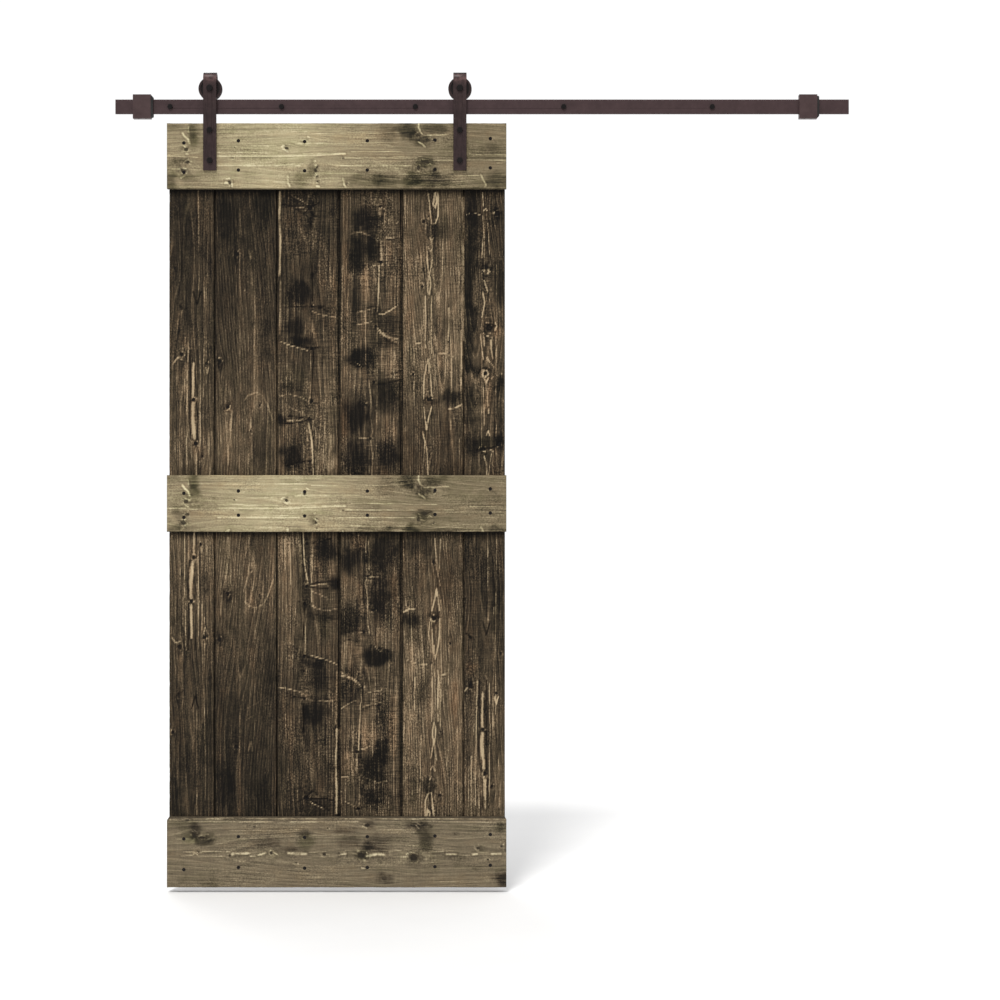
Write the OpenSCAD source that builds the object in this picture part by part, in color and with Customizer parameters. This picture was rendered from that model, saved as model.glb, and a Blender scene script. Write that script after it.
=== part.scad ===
// A single sliding barn door. Six tongue-and-groove planks are held by three ledges and hang from
// two bent straps, whose grooved wheels roll on a flat bar that stands off the wall.
// X runs along the bar, Y into the wall and Z up. The wall's face is y = 0, z = 0 is the bar's
// middle, and x = 0 is midway between the two outer wall screws.

/* [Track] */
// Length of the flat bar
track_l = 2007; // [1960:1:2600]
// Height of the bar
track_h = 40; // [32:1:50]
// Thickness of the bar
track_t = 6; // [5:0.1:8]
// Distance from the wall to the back of the bar
standoff = 35; // [29:0.5:50]
// Places of the wall screws, from the bar's left end
wall_screw_at = [150, 455, 821, 1227, 1633]; // [20:1:1850]
// Chamfer on the bar's long edges
track_ease = 0.6; // [0.2:0.1:1]

/* [Wall screws] */
// Outer diameter of the spacer tubes
spacer_d = 20; // [16:0.5:24]
// Diameter of a lag screw's plain shank
lag_d = 7.9; // [6:0.1:10]
// Diameter of its thread
lag_thread_d = 6.9; // [5:0.1:9]
// Width across the flats of its head
lag_af = 12.7; // [10:0.1:14]
// Height of its head
lag_head_h = 5.3; // [4:0.1:6]
// Length of the thread's straight part
lag_thread_l = 44; // [25:1:80]
// Length of the point
lag_point_l = 7; // [4:0.5:10]

/* [Stops] */
// Width of a stop block along the bar
stop_w = 49; // [30:0.5:70]
// How far a stop block reaches above and below the bar
stop_over = 12.8; // [8:0.2:18]
// Thickness of a stop block in front of the bar, and behind it
stop_wall = 8; // [5:0.5:10]
// Distance from the bar's left end to the left block
stop_left_in = 49; // [5:0.5:60]
// Distance from the bar's right end to the right block
stop_right_in = 87.5; // [5:0.5:120]
// Thickness of a stop's rubber pad
pad_t = 5.5; // [3:0.5:8]
// How far a pad reaches above and below the bar
pad_over = 8.7; // [7:0.1:12]
// Diameter of the two studs that hold a pad in its block
pad_stud_d = 5; // [3:0.5:6]
// Length of those studs
pad_stud_l = 8; // [4:0.5:12]
// Diameter of the set screws
set_screw_d = 6; // [4:0.5:8]
// Distance between a block's two set screws
set_screw_pitch = 20; // [12:1:30]

/* [Door] */
// Width over the ledges
door_w = 928; // [760:1:1120]
// Height of the door
door_h = 2089; // [1700:1:2520]
// Distance from the bar's left end to the door's left edge
door_at = 142; // [60:1:400]
// Gap between the bar and the door's top
door_gap = 26; // [16:0.5:40]
// Thickness of the planks
plank_t = 19; // [16:0.5:20]
// How far the planks stop short of the ledges' ends
plank_inset = 4; // [1:0.5:10]
// Pitch of the four full planks
board_w = 170.5; // [140:0.5:180]
// How far those four sit to the right of the door's middle
board_shift = 5.5; // [-10:0.5:10]
// Open width of each seam, from the left
seam_w = [5, 4, 8, 9, 5]; // [2:0.5:10]
// Thickness of the tongues
tongue_t = 6; // [4:0.5:8]
// How far a tongue reaches into its groove
tongue_in = 6; // [4:0.5:8]
// Chamfer on the planks' long edges
plank_ease = 1.5; // [0.5:0.1:3]

/* [Ledges] */
// Thickness of the ledges
ledge_t = 19; // [16:0.5:22]
// Height of the top ledge
top_ledge_h = 179; // [150:1:210]
// Height of the middle ledge
middle_ledge_h = 155; // [120:1:190]
// Distance from the door's top to the middle ledge's top
middle_ledge_down = 962; // [700:1:1200]
// Height of the bottom ledge
bottom_ledge_h = 192; // [150:1:230]
// Chamfer on the ledges' front edges
ledge_ease = 2.5; // [1:0.5:4]
// Bevel along the bottom ledge's top edge
ledge_bevel = 10; // [4:0.5:14]
// Width and height cut off the bottom ledge's two top corners
corner_cut = [5, 8]; // [0:0.5:12]

/* [Ledge screws] */
// Diameter of a countersunk head
screw_head_d = 9.5; // [7:0.1:11]
// Diameter of the shank
screw_d = 4.2; // [3:0.1:5]
// Length of a screw
screw_l = 33; // [26:0.5:35]
// How far a head is sunk below the ledge's face
screw_sink = 0.6; // [0.2:0.1:1.5]
// Width of the square drive
screw_drive = 2.8; // [2:0.1:3.4]
// Half the distance between the two rows of the top ledge
top_row = 40; // [20:0.5:60]
// The same for the middle ledge
middle_row = 33; // [20:0.5:50]
// The same for the bottom ledge
bottom_row = 42; // [20:0.5:60]
// Where each plank's screws sit across it, as a share of its width
screw_share = [0.35, 0.39, 0.46, 0.46, 0.54, 0.64]; // [0.2:0.01:0.8]
// How far each pair of screws strays upwards, from the left
screw_stray = [-5, 1, -1, 1, 3, 7]; // [-8:0.5:8]

/* [Hangers] */
// Distance from the door's left edge to the left strap's middle
hanger_left_in = 118; // [60:1:180]
// Distance from the door's right edge to the right strap's middle
hanger_right_in = 127; // [60:1:180]
// Width of a strap
strap_w = 36; // [30:0.5:44]
// Thickness of a strap
strap_t = 6; // [4:0.5:7]
// Clear gap between a strap's two legs
strap_gap = 23; // [21.5:0.5:28]
// Clear gap between a wheel's top and the bend over it
over_wheel = 7; // [3:0.5:20]
// How far the back leg runs below the axle
strap_tail = 16; // [12:0.5:22]
// How far the front leg runs below the door's top
strap_drop = 130; // [118:1:160]
// Diameter of the two door bolts
bolt_d = 9.5; // [8:0.1:10]
// Width across the flats of their heads and nuts
bolt_af = 14.3; // [13:0.1:16]
// Height of their heads
bolt_head_h = 6; // [4:0.1:8]
// Distances of the bolts below the door's top
bolt_down = [20, 103]; // [15:1:110]
// Height of the nuts
nut_h = 6.5; // [4:0.1:7]
// Diameter of the rear washers
washer_d = 20; // [18:0.5:24]
// Thickness of the rear washers
washer_t = 1.6; // [1:0.1:2]
// Diameter of the axle bolt
axle_d = 10; // [8:0.1:10]
// Width across the flats of its head and nut
axle_af = 16; // [14:0.1:18]
// Height of its head
axle_head_h = 6.4; // [4:0.1:8]

/* [Wheels] */
// Diameter over a wheel's flanges
wheel_d = 64; // [50:0.5:80]
// Width of a wheel
wheel_w = 18; // [15:0.5:18.5]
// Depth of its groove
groove_in = 3.5; // [2:0.1:5]
// Width of a flange's face, measured along the radius
rim_w = 7; // [5:0.5:9]
// Depth of the recess inside the flanges
web_in = 2; // [0.5:0.5:3]
// Outer diameter of the bearing
bearing_d = 26; // [21:0.5:32]
// Width of the bearing
bearing_w = 8; // [6:0.5:9]
// Diameter of the bearing's balls
ball_d = 4.53; // [3.5:0.01:5]
// Depth of the ball tracks in the rings
race_in = 0.7; // [0.5:0.05:0.9]
// Number of balls
ball_count = 7; // [6:1:8]
// Thickness of the bearing's shields
shield_t = 0.8; // [0.5:0.1:1]

/* [Fits] */
// Gap between a wheel's groove and the bar's top
roll_gap = 0.3; // [0.2:0.05:0.5]
// Gap on each side of the bar in a wheel's groove
groove_gap = 0.6; // [0.4:0.1:1]
// Gap around a bolt in its hole
hole_gap = 0.25; // [0.15:0.05:0.5]
// Gap around a screw, a stud or a thread
thread_gap = 0.1; // [0.05:0.01:0.2]
// Gap around the axle in its bearing and spacers
slip_gap = 0.05; // [0.02:0.01:0.1]
// Gap around the bearing in its wheel
press_gap = 0.02; // [0.01:0.01:0.05]
// Gap around the bar in a stop, and around a tongue in its groove
slide_gap = 0.2; // [0.1:0.05:0.4]
// Gap between the balls and their tracks
ball_gap = 0.1; // [0.05:0.01:0.15]

/* [Hidden] */

bronze = "#51423f";
dark_wood = "#4b4136";
ledge_wood = "#9a9070";
black = "#1c1919";
steel = "silver";
rubber = "#2b2828";
$fn = 48;

// Places along the bar
track_x = -(wall_screw_at[0] + wall_screw_at[len(wall_screw_at) - 1]) / 2;
door_x = track_x + door_at;
hanger_x = [door_x + hanger_left_in, door_x + door_w - hanger_right_in];
stop_x = [track_x + stop_left_in, track_x + track_l - stop_right_in - stop_w];

// Depths from the wall
track_back_y = -standoff;
track_front_y = track_back_y - track_t;
track_mid_y = (track_front_y + track_back_y) / 2;
door_front_y = track_mid_y - strap_gap / 2;
plank_front_y = door_front_y + ledge_t;
door_back_y = plank_front_y + plank_t;
strap_front_y = door_front_y - strap_t;
strap_back_y = track_mid_y + strap_gap / 2 + strap_t;

// Heights
door_top_z = -track_h / 2 - door_gap;
door_bottom_z = door_top_z - door_h;
groove_r = wheel_d / 2 - groove_in;
axle_z = track_h / 2 + roll_gap + groove_r;
bend_z = axle_z + wheel_d / 2 + over_wheel - strap_gap / 2;
middle_ledge_z = door_top_z - middle_ledge_down - middle_ledge_h;

// Ledges from the top: the bottom edge, the height and half the distance between the screw rows
LEDGES = [
    [door_top_z - top_ledge_h, top_ledge_h, top_row],
    [middle_ledge_z, middle_ledge_h, middle_row],
    [door_bottom_z, bottom_ledge_h, bottom_row]
];

// Planks
planks_x = door_x + plank_inset;
planks_w = door_w - 2 * plank_inset;
first_seam = (planks_w - 4 * board_w) / 2 + board_shift;
last_plank = len(seam_w);
groove_spare = 1;
function seam_x(i) = planks_x + first_seam + i * board_w;
function plank_left(i) = i == 0 ? planks_x : seam_x(i - 1) + seam_w[i - 1] / 2;
function plank_right(i) = i == last_plank ? planks_x + planks_w : seam_x(i) - seam_w[i] / 2;
function screw_x(i) = plank_left(i) + screw_share[i] * (plank_right(i) - plank_left(i));

// Bolts through the door
tail_l = 0.8;
washer_y = door_back_y - nut_h - washer_t - tail_l - 0.4;
counterbore_d = washer_d + 1;

// Bearing
inner_r = axle_d / 2 + slip_gap;
bearing_r = bearing_d / 2 - press_gap;
race_r = (inner_r + bearing_r) / 2;
race_tube_r = ball_d / 2 + ball_gap;
ring_t = (bearing_r - inner_r) / 2 - (race_tube_r - race_in);
spacer_r = inner_r + ring_t - 0.3;
spacer_l = (strap_gap - bearing_w) / 2;

// Turns +Z into +Y, from a given point
module along_y(at) translate(at) rotate([-90, 0, 0]) children();

// Sets a profile drawn in Y and Z upright and lays its thickness along +X
module along_x(x) translate([x, 0, 0]) rotate([90, 0, 90]) children();

// A rectangle from one corner to the other, with its four corners cut at 45 degrees
module eased_rect(low, high, cut) {
    polygon([
        [low[0] + cut, low[1]], [high[0] - cut, low[1]],
        [high[0], low[1] + cut], [high[0], high[1] - cut],
        [high[0] - cut, high[1]], [low[0] + cut, high[1]],
        [low[0], high[1] - cut], [low[0], low[1] + cut]
    ]);
}

// A hexagon whose lower corners are turned to 30 degrees
module hex_head(af, h) {
    outer_r = af / 2 / cos(30) + 0.5;
    face_r = af / 2 * 0.97;
    intersection() {
        cylinder(r = af / 2 / cos(30), h = h, $fn = 6);
        rotate_extrude() polygon([
            [0, 0], [face_r, 0], [outer_r, (outer_r - face_r) * tan(30)], [outer_r, h], [0, h]
        ]);
    }
}

// A hexagon nut, turned on its far side
module hex_nut(af, h, bore_d) {
    difference() {
        translate([0, 0, h]) mirror([0, 0, 1]) hex_head(af, h);
        translate([0, 0, -1]) cylinder(d = bore_d, h = h + 2);
    }
}

module tube(outer_r, bore_r, h) {
    difference() {
        cylinder(r = outer_r, h = h);
        translate([0, 0, -1]) cylinder(r = bore_r, h = h + 2);
    }
}

// ---- Track, wall screws and stops ----

module track() {
    color(bronze) difference() {
        along_x(track_x) linear_extrude(track_l)
            eased_rect([track_front_y, -track_h / 2], [track_back_y, track_h / 2], track_ease);
        for (s = wall_screw_at)
            along_y([track_x + s, track_front_y - 1, 0])
                cylinder(d = lag_d + 2 * hole_gap, h = track_t + 2);
    }
}

module wall_spacers() {
    color(bronze) for (s = wall_screw_at)
        along_y([track_x + s, track_back_y, 0])
            tube(spacer_d / 2, lag_d / 2 + hole_gap, standoff);
}

module lag_screws() {
    shank_l = track_t + standoff;
    color(black) for (s = wall_screw_at)
        along_y([track_x + s, track_front_y - lag_head_h, 0]) {
            hex_head(lag_af, lag_head_h);
            translate([0, 0, lag_head_h]) cylinder(d = lag_d, h = shank_l);
            translate([0, 0, lag_head_h + shank_l]) cylinder(d = lag_thread_d, h = lag_thread_l);
            translate([0, 0, lag_head_h + shank_l + lag_thread_l])
                cylinder(d1 = lag_thread_d, d2 = 1, h = lag_point_l);
        }
}

// Heights above the bar's middle of a block's top, a pad's top and a pad's upper stud
stop_top_z = track_h / 2 + stop_over;
pad_top_z = track_h / 2 + pad_over;
pad_stud_z = (track_h / 2 + pad_top_z) / 2;

module bar_slot() {
    translate([track_front_y - slide_gap, -track_h / 2 - slide_gap])
        square([track_t + 2 * slide_gap, track_h + 2 * slide_gap]);
}

module pad_studs(x, grow) {
    for (side = [-1, 1])
        translate([x, track_mid_y, side * pad_stud_z]) rotate([0, -90, 0])
            cylinder(r = pad_stud_d / 2 + grow, h = pad_stud_l + grow);
}

module set_screw_places(x) {
    for (side = [-1, 1])
        translate([x + stop_w / 2 + side * set_screw_pitch / 2, track_mid_y, -stop_top_z])
            children();
}

module stop_block(x) {
    color(bronze) difference() {
        along_x(x) linear_extrude(stop_w) difference() {
            eased_rect([track_front_y - stop_wall, -stop_top_z],
                       [track_back_y + stop_wall, stop_top_z], 1);
            bar_slot();
        }
        pad_studs(x + stop_w + 0.01, thread_gap);
        set_screw_places(x) translate([0, 0, -1])
            cylinder(d = set_screw_d + 2 * thread_gap, h = stop_over + 1);
    }
}

// The pad sits on the block's right side, round the bar
module stop_pad(x) {
    pad_in = 1;
    corner = 2.5;
    front_y = track_front_y - stop_wall + pad_in;
    depth = track_t + 2 * stop_wall - 2 * pad_in;
    color(rubber) {
        difference() {
            along_y([x, front_y, 0]) linear_extrude(depth) polygon([
                [0, -pad_top_z], [pad_t - corner, -pad_top_z], [pad_t, -pad_top_z + corner],
                [pad_t, pad_top_z - corner], [pad_t - corner, pad_top_z], [0, pad_top_z]
            ]);
            along_x(x - 1) linear_extrude(pad_t + 2) bar_slot();
        }
        pad_studs(x, 0);
    }
}

module stop_left() stop_block(stop_x[0]);

module stop_right() stop_block(stop_x[1]);

module stop_pad_left() stop_pad(stop_x[0] + stop_w);

module stop_pad_right() stop_pad(stop_x[1] + stop_w);

module stop_set_screws() {
    sunk = 1;
    socket_af = set_screw_d / 2;
    color(black) for (x = stop_x)
        set_screw_places(x) translate([0, 0, sunk]) difference() {
            cylinder(d = set_screw_d, h = stop_over - sunk);
            translate([0, 0, -1])
                cylinder(d = socket_af / cos(30), h = socket_af + 1, $fn = 6);
        }
}

// ---- Door ----

// A countersunk screw along +Z from the ledge's face, or its hole when it is grown
module countersunk(grow, hole) {
    head_r = screw_head_d / 2 + grow;
    shank_r = screw_d / 2 + grow;
    head_h = head_r - shank_r;
    point_l = 5;
    if (hole) translate([0, 0, -1]) cylinder(r = head_r, h = screw_sink + 1);
    translate([0, 0, screw_sink]) cylinder(r1 = head_r, r2 = shank_r, h = head_h);
    if (hole) {
        translate([0, 0, screw_sink + head_h]) cylinder(r = shank_r, h = screw_l - head_h);
    } else {
        translate([0, 0, screw_sink + head_h])
            cylinder(r = shank_r, h = screw_l - screw_sink - head_h - point_l);
        translate([0, 0, screw_l - point_l]) cylinder(r1 = shank_r, r2 = 0.4, h = point_l);
    }
}

// Places of one ledge's two screws in plank i
module screw_pair(ledge, i) {
    for (side = [-1, 1])
        along_y([screw_x(i), door_front_y, ledge[0] + ledge[1] / 2 + side * ledge[2] + screw_stray[i]])
            children();
}

module door_bolt_holes() {
    for (x = hanger_x, down = bolt_down) {
        along_y([x, strap_front_y - 1, door_top_z - down])
            cylinder(d = bolt_d + 2 * hole_gap, h = door_back_y - strap_front_y + 2);
        along_y([x, washer_y, door_top_z - down])
            cylinder(d = counterbore_d, h = door_back_y - washer_y + 1);
    }
}

// Section of plank i: grooved on its left and tongued on its right, with plain outer edges
module plank_section(i) {
    left = plank_left(i);
    right = plank_right(i);
    mid_y = (plank_front_y + door_back_y) / 2;
    slot_half = tongue_t / 2 + slide_gap;
    slot_x = left + tongue_in + groove_spare;
    tongue_x = i == last_plank ? right : right + seam_w[i] + tongue_in;
    tongue = i == last_plank ? [] : [
        [right, mid_y - tongue_t / 2], [tongue_x, mid_y - tongue_t / 2],
        [tongue_x, mid_y + tongue_t / 2], [right, mid_y + tongue_t / 2]
    ];
    slot = i == 0 ? [] : [
        [left, mid_y + slot_half], [slot_x, mid_y + slot_half],
        [slot_x, mid_y - slot_half], [left, mid_y - slot_half]
    ];
    polygon(concat(
        [[left + plank_ease, plank_front_y], [right - plank_ease, plank_front_y],
         [right, plank_front_y + plank_ease]],
        tongue,
        [[right, door_back_y - plank_ease], [right - plank_ease, door_back_y],
         [left + plank_ease, door_back_y], [left, door_back_y - plank_ease]],
        slot,
        [[left, plank_front_y + plank_ease]]
    ));
}

module plank(i) {
    color(dark_wood) difference() {
        translate([0, 0, door_bottom_z]) linear_extrude(door_h) plank_section(i);
        for (ledge = LEDGES) screw_pair(ledge, i) countersunk(thread_gap, true);
        door_bolt_holes();
    }
}

module plank_1() plank(0);

module plank_2() plank(1);

module plank_3() plank(2);

module plank_4() plank(3);

module plank_5() plank(4);

module plank_6() plank(5);

// A ledge whose front edges are eased all round, with a bevel of its own along the top
module ledge(l, bevel, cut) {
    z = l[0];
    h = l[1];
    x1 = door_x + door_w;
    color(ledge_wood) difference() {
        intersection() {
            along_x(door_x) linear_extrude(door_w) polygon([
                [plank_front_y, z], [plank_front_y, z + h], [door_front_y + bevel, z + h],
                [door_front_y, z + h - bevel], [door_front_y, z + ledge_ease],
                [door_front_y + ledge_ease, z]
            ]);
            translate([0, 0, z]) linear_extrude(h) polygon([
                [door_x, plank_front_y], [door_x, door_front_y + ledge_ease],
                [door_x + ledge_ease, door_front_y], [x1 - ledge_ease, door_front_y],
                [x1, door_front_y + ledge_ease], [x1, plank_front_y]
            ]);
            along_y([0, door_front_y, 0]) linear_extrude(ledge_t) polygon([
                [door_x, -z], [x1, -z], [x1, -z - h + cut[1]], [x1 - cut[0], -z - h],
                [door_x + cut[0], -z - h], [door_x, -z - h + cut[1]]
            ]);
        }
        for (i = [0 : last_plank]) screw_pair(l, i) countersunk(thread_gap, true);
        door_bolt_holes();
    }
}

module ledge_screws(l) {
    color(black) for (i = [0 : last_plank]) screw_pair(l, i) difference() {
        countersunk(0, false);
        translate([-screw_drive / 2, -screw_drive / 2, -1])
            cube([screw_drive, screw_drive, 1 + screw_sink + 2]);
    }
}

module top_ledge() ledge(LEDGES[0], ledge_ease, [0.5, 0.5]);

module middle_ledge() ledge(LEDGES[1], ledge_ease, [0.5, 0.5]);

module bottom_ledge() ledge(LEDGES[2], ledge_bevel, corner_cut);

module top_ledge_screws() ledge_screws(LEDGES[0]);

module middle_ledge_screws() ledge_screws(LEDGES[1]);

module bottom_ledge_screws() ledge_screws(LEDGES[2]);

// ---- Hangers ----

module strap(x) {
    front_z = door_top_z - strap_drop;
    back_z = axle_z - strap_tail;
    color(bronze) difference() {
        union() {
            translate([x - strap_w / 2, strap_front_y, front_z])
                cube([strap_w, strap_t, bend_z - front_z]);
            translate([x - strap_w / 2, strap_back_y - strap_t, back_z])
                cube([strap_w, strap_t, bend_z - back_z]);
            translate([x, track_mid_y, bend_z]) rotate([90, 0, 90])
                rotate_extrude(angle = 180)
                    translate([strap_gap / 2, -strap_w / 2]) square([strap_t, strap_w]);
        }
        along_y([x, strap_front_y - 1, axle_z])
            cylinder(d = axle_d + 2 * hole_gap, h = strap_back_y - strap_front_y + 2);
        door_bolt_holes();
    }
}

module door_bolts(x) {
    color(black) for (down = bolt_down)
        along_y([x, strap_front_y - bolt_head_h, door_top_z - down]) {
            hex_head(bolt_af, bolt_head_h);
            translate([0, 0, bolt_head_h])
                cylinder(d = bolt_d, h = washer_y + washer_t + nut_h + tail_l - strap_front_y);
        }
}

module bolt_washers(x) {
    color(steel) for (down = bolt_down)
        along_y([x, washer_y, door_top_z - down])
            tube(washer_d / 2, bolt_d / 2 + hole_gap, washer_t);
}

module bolt_nuts(x) {
    color(steel) for (down = bolt_down)
        along_y([x, washer_y + washer_t, door_top_z - down])
            hex_nut(bolt_af, nut_h, bolt_d + 2 * thread_gap);
}

module axle(x) {
    tail = 2;
    color(black) along_y([x, strap_front_y - axle_head_h, axle_z]) {
        hex_head(axle_af, axle_head_h);
        translate([0, 0, axle_head_h])
            cylinder(d = axle_d, h = strap_back_y - strap_front_y + nut_h + tail);
    }
}

module axle_nut(x) {
    color(black) along_y([x, strap_back_y, axle_z])
        hex_nut(axle_af, nut_h, axle_d + 2 * thread_gap);
}

module axle_spacers(x) {
    color(steel) for (y = [door_front_y, track_mid_y + bearing_w / 2])
        along_y([x, y, axle_z]) tube(spacer_r, inner_r, spacer_l);
}

module strap_left() strap(hanger_x[0]);

module strap_right() strap(hanger_x[1]);

module door_bolts_left() door_bolts(hanger_x[0]);

module door_bolts_right() door_bolts(hanger_x[1]);

module bolt_washers_left() bolt_washers(hanger_x[0]);

module bolt_washers_right() bolt_washers(hanger_x[1]);

module bolt_nuts_left() bolt_nuts(hanger_x[0]);

module bolt_nuts_right() bolt_nuts(hanger_x[1]);

module axle_left() axle(hanger_x[0]);

module axle_right() axle(hanger_x[1]);

module axle_nut_left() axle_nut(hanger_x[0]);

module axle_nut_right() axle_nut(hanger_x[1]);

module axle_spacers_left() axle_spacers(hanger_x[0]);

module axle_spacers_right() axle_spacers(hanger_x[1]);

// ---- Wheels and bearings, turned about Y through the axle ----

module at_wheel(x) along_y([x, track_mid_y, axle_z]) children();

module wheel(x) {
    rim_r = wheel_d / 2;
    half = wheel_w / 2;
    groove = track_t / 2 + groove_gap;
    flare = 1;
    web = half - web_in;
    shoulder_r = bearing_d / 2 - ring_t + 0.5;
    color(bronze) at_wheel(x) rotate_extrude($fn = 96) polygon([
        [bearing_d / 2, -web], [rim_r - rim_w, -web], [rim_r - rim_w, -half],
        [rim_r - 1, -half], [rim_r, -half + 1], [rim_r, -groove - flare],
        [groove_r, -groove], [groove_r, groove], [rim_r, groove + flare],
        [rim_r, half - 1], [rim_r - 1, half], [rim_r - rim_w, half],
        [rim_r - rim_w, web], [shoulder_r, web], [shoulder_r, bearing_w / 2],
        [bearing_d / 2, bearing_w / 2]
    ]);
}

module bearing_ring(x, low_r, high_r) {
    color(steel) at_wheel(x) rotate_extrude() difference() {
        translate([low_r, -bearing_w / 2]) square([high_r - low_r, bearing_w]);
        translate([race_r, 0]) circle(r = race_tube_r);
    }
}

module bearing_inner(x) bearing_ring(x, inner_r, inner_r + ring_t);

module bearing_outer(x) bearing_ring(x, bearing_r - ring_t, bearing_r);

module bearing_balls(x) {
    color(steel) at_wheel(x) for (i = [0 : ball_count - 1])
        rotate([0, 0, i * 360 / ball_count]) translate([race_r, 0, 0])
            sphere(d = ball_d);
}

module bearing_shields(x) {
    sunk = 0.3;
    color(rubber) at_wheel(x) for (z = [-bearing_w / 2 + sunk, bearing_w / 2 - sunk - shield_t])
        translate([0, 0, z])
            tube(bearing_r - ring_t - thread_gap, inner_r + ring_t + thread_gap, shield_t);
}

module wheel_left() wheel(hanger_x[0]);

module wheel_right() wheel(hanger_x[1]);

module bearing_inner_left() bearing_inner(hanger_x[0]);

module bearing_inner_right() bearing_inner(hanger_x[1]);

module bearing_outer_left() bearing_outer(hanger_x[0]);

module bearing_outer_right() bearing_outer(hanger_x[1]);

module bearing_balls_left() bearing_balls(hanger_x[0]);

module bearing_balls_right() bearing_balls(hanger_x[1]);

module bearing_shields_left() bearing_shields(hanger_x[0]);

module bearing_shields_right() bearing_shields(hanger_x[1]);

track();
wall_spacers();
lag_screws();
stop_left();
stop_right();
stop_pad_left();
stop_pad_right();
stop_set_screws();
plank_1();
plank_2();
plank_3();
plank_4();
plank_5();
plank_6();
top_ledge();
middle_ledge();
bottom_ledge();
top_ledge_screws();
middle_ledge_screws();
bottom_ledge_screws();
strap_left();
strap_right();
door_bolts_left();
door_bolts_right();
bolt_washers_left();
bolt_washers_right();
bolt_nuts_left();
bolt_nuts_right();
axle_left();
axle_right();
axle_nut_left();
axle_nut_right();
axle_spacers_left();
axle_spacers_right();
bearing_inner_left();
bearing_inner_right();
wheel_left();
wheel_right();
bearing_outer_left();
bearing_outer_right();
bearing_balls_left();
bearing_balls_right();
bearing_shields_left();
bearing_shields_right();
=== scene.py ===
import math
import bpy
import numpy as np
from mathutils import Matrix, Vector


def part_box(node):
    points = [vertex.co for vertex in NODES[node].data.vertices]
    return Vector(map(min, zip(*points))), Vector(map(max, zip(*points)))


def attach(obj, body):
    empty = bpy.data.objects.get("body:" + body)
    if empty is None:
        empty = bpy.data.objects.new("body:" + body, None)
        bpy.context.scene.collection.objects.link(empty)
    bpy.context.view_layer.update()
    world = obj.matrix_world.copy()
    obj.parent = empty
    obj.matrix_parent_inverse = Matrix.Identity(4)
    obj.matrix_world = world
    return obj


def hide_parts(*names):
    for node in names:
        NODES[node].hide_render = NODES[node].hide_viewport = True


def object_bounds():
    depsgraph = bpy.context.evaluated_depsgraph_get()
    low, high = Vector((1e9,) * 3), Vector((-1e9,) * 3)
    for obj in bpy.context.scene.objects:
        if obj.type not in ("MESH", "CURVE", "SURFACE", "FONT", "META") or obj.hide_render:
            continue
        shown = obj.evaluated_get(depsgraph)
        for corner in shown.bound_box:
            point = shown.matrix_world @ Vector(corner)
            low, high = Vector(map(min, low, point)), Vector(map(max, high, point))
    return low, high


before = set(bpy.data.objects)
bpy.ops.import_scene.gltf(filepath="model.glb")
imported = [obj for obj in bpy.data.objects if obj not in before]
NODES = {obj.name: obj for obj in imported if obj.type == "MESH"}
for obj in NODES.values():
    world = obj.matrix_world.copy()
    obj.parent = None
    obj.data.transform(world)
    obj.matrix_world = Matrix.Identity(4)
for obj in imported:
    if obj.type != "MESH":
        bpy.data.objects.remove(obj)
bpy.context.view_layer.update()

MM = 0.001


def lo_hi(node):
    """A node's box as two corners, in millimetres."""
    lo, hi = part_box(node)
    return np.array(lo) / MM, np.array(hi) / MM


# ---------------------------------------------------------------- noise

HASH_X, HASH_Y, HASH_SEED, HASH_MIX = 374761393, 668265263, 974634777, 1274126177
BITS_32, BITS_24 = 0xFFFFFFFF, 0xFFFFFF


def cell(ix, iy, seed):
    """A fixed value from -1 to 1 for each cell of a grid."""
    h = (ix.astype(np.int64) * HASH_X + iy.astype(np.int64) * HASH_Y + seed * HASH_SEED) & BITS_32
    h = ((h ^ (h >> 13)) * HASH_MIX) & BITS_32
    return ((h ^ (h >> 16)) & BITS_24) / (BITS_24 / 2) - 1.0


def noise(x, y, seed):
    """Smooth noise from -1 to 1, with features about one unit wide."""
    x, y = np.broadcast_arrays(np.asarray(x, float), np.asarray(y, float))
    ix, iy = np.floor(x), np.floor(y)
    fx, fy = x - ix, y - iy
    fx, fy = fx * fx * (3 - 2 * fx), fy * fy * (3 - 2 * fy)
    a, b = cell(ix, iy, seed), cell(ix + 1, iy, seed)
    c, d = cell(ix, iy + 1, seed), cell(ix + 1, iy + 1, seed)
    return (a * (1 - fx) + b * fx) * (1 - fy) + (c * (1 - fx) + d * fx) * fy


def fbm(x, y, seed):
    """Three layers of noise, each twice as fine as the last and 0.55 times as strong."""
    out, amp, total = 0.0, 1.0, 0.0
    for k in range(3):
        out = out + amp * noise(x * 2**k, y * 2**k, seed + 31 * k)
        total += amp
        amp *= 0.55
    return out / total


def smooth(x, a, b):
    """Eases from 0 at a to 1 at b."""
    t = np.clip((x - a) / (b - a), 0, 1)
    return t * t * (3 - 2 * t)


# ---------------------------------------------------------------- what shows on each board
# shade: place along the board, tone.
# knots: u, v, half width, half length, strength.
# lines: half width, strength (under 0 for a crack, over 0 for a pale streak), points.
# blots: u, v, half width, half length, tone, warmth.
# A ledge's marks have their place along it first, and are turned below.

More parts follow.
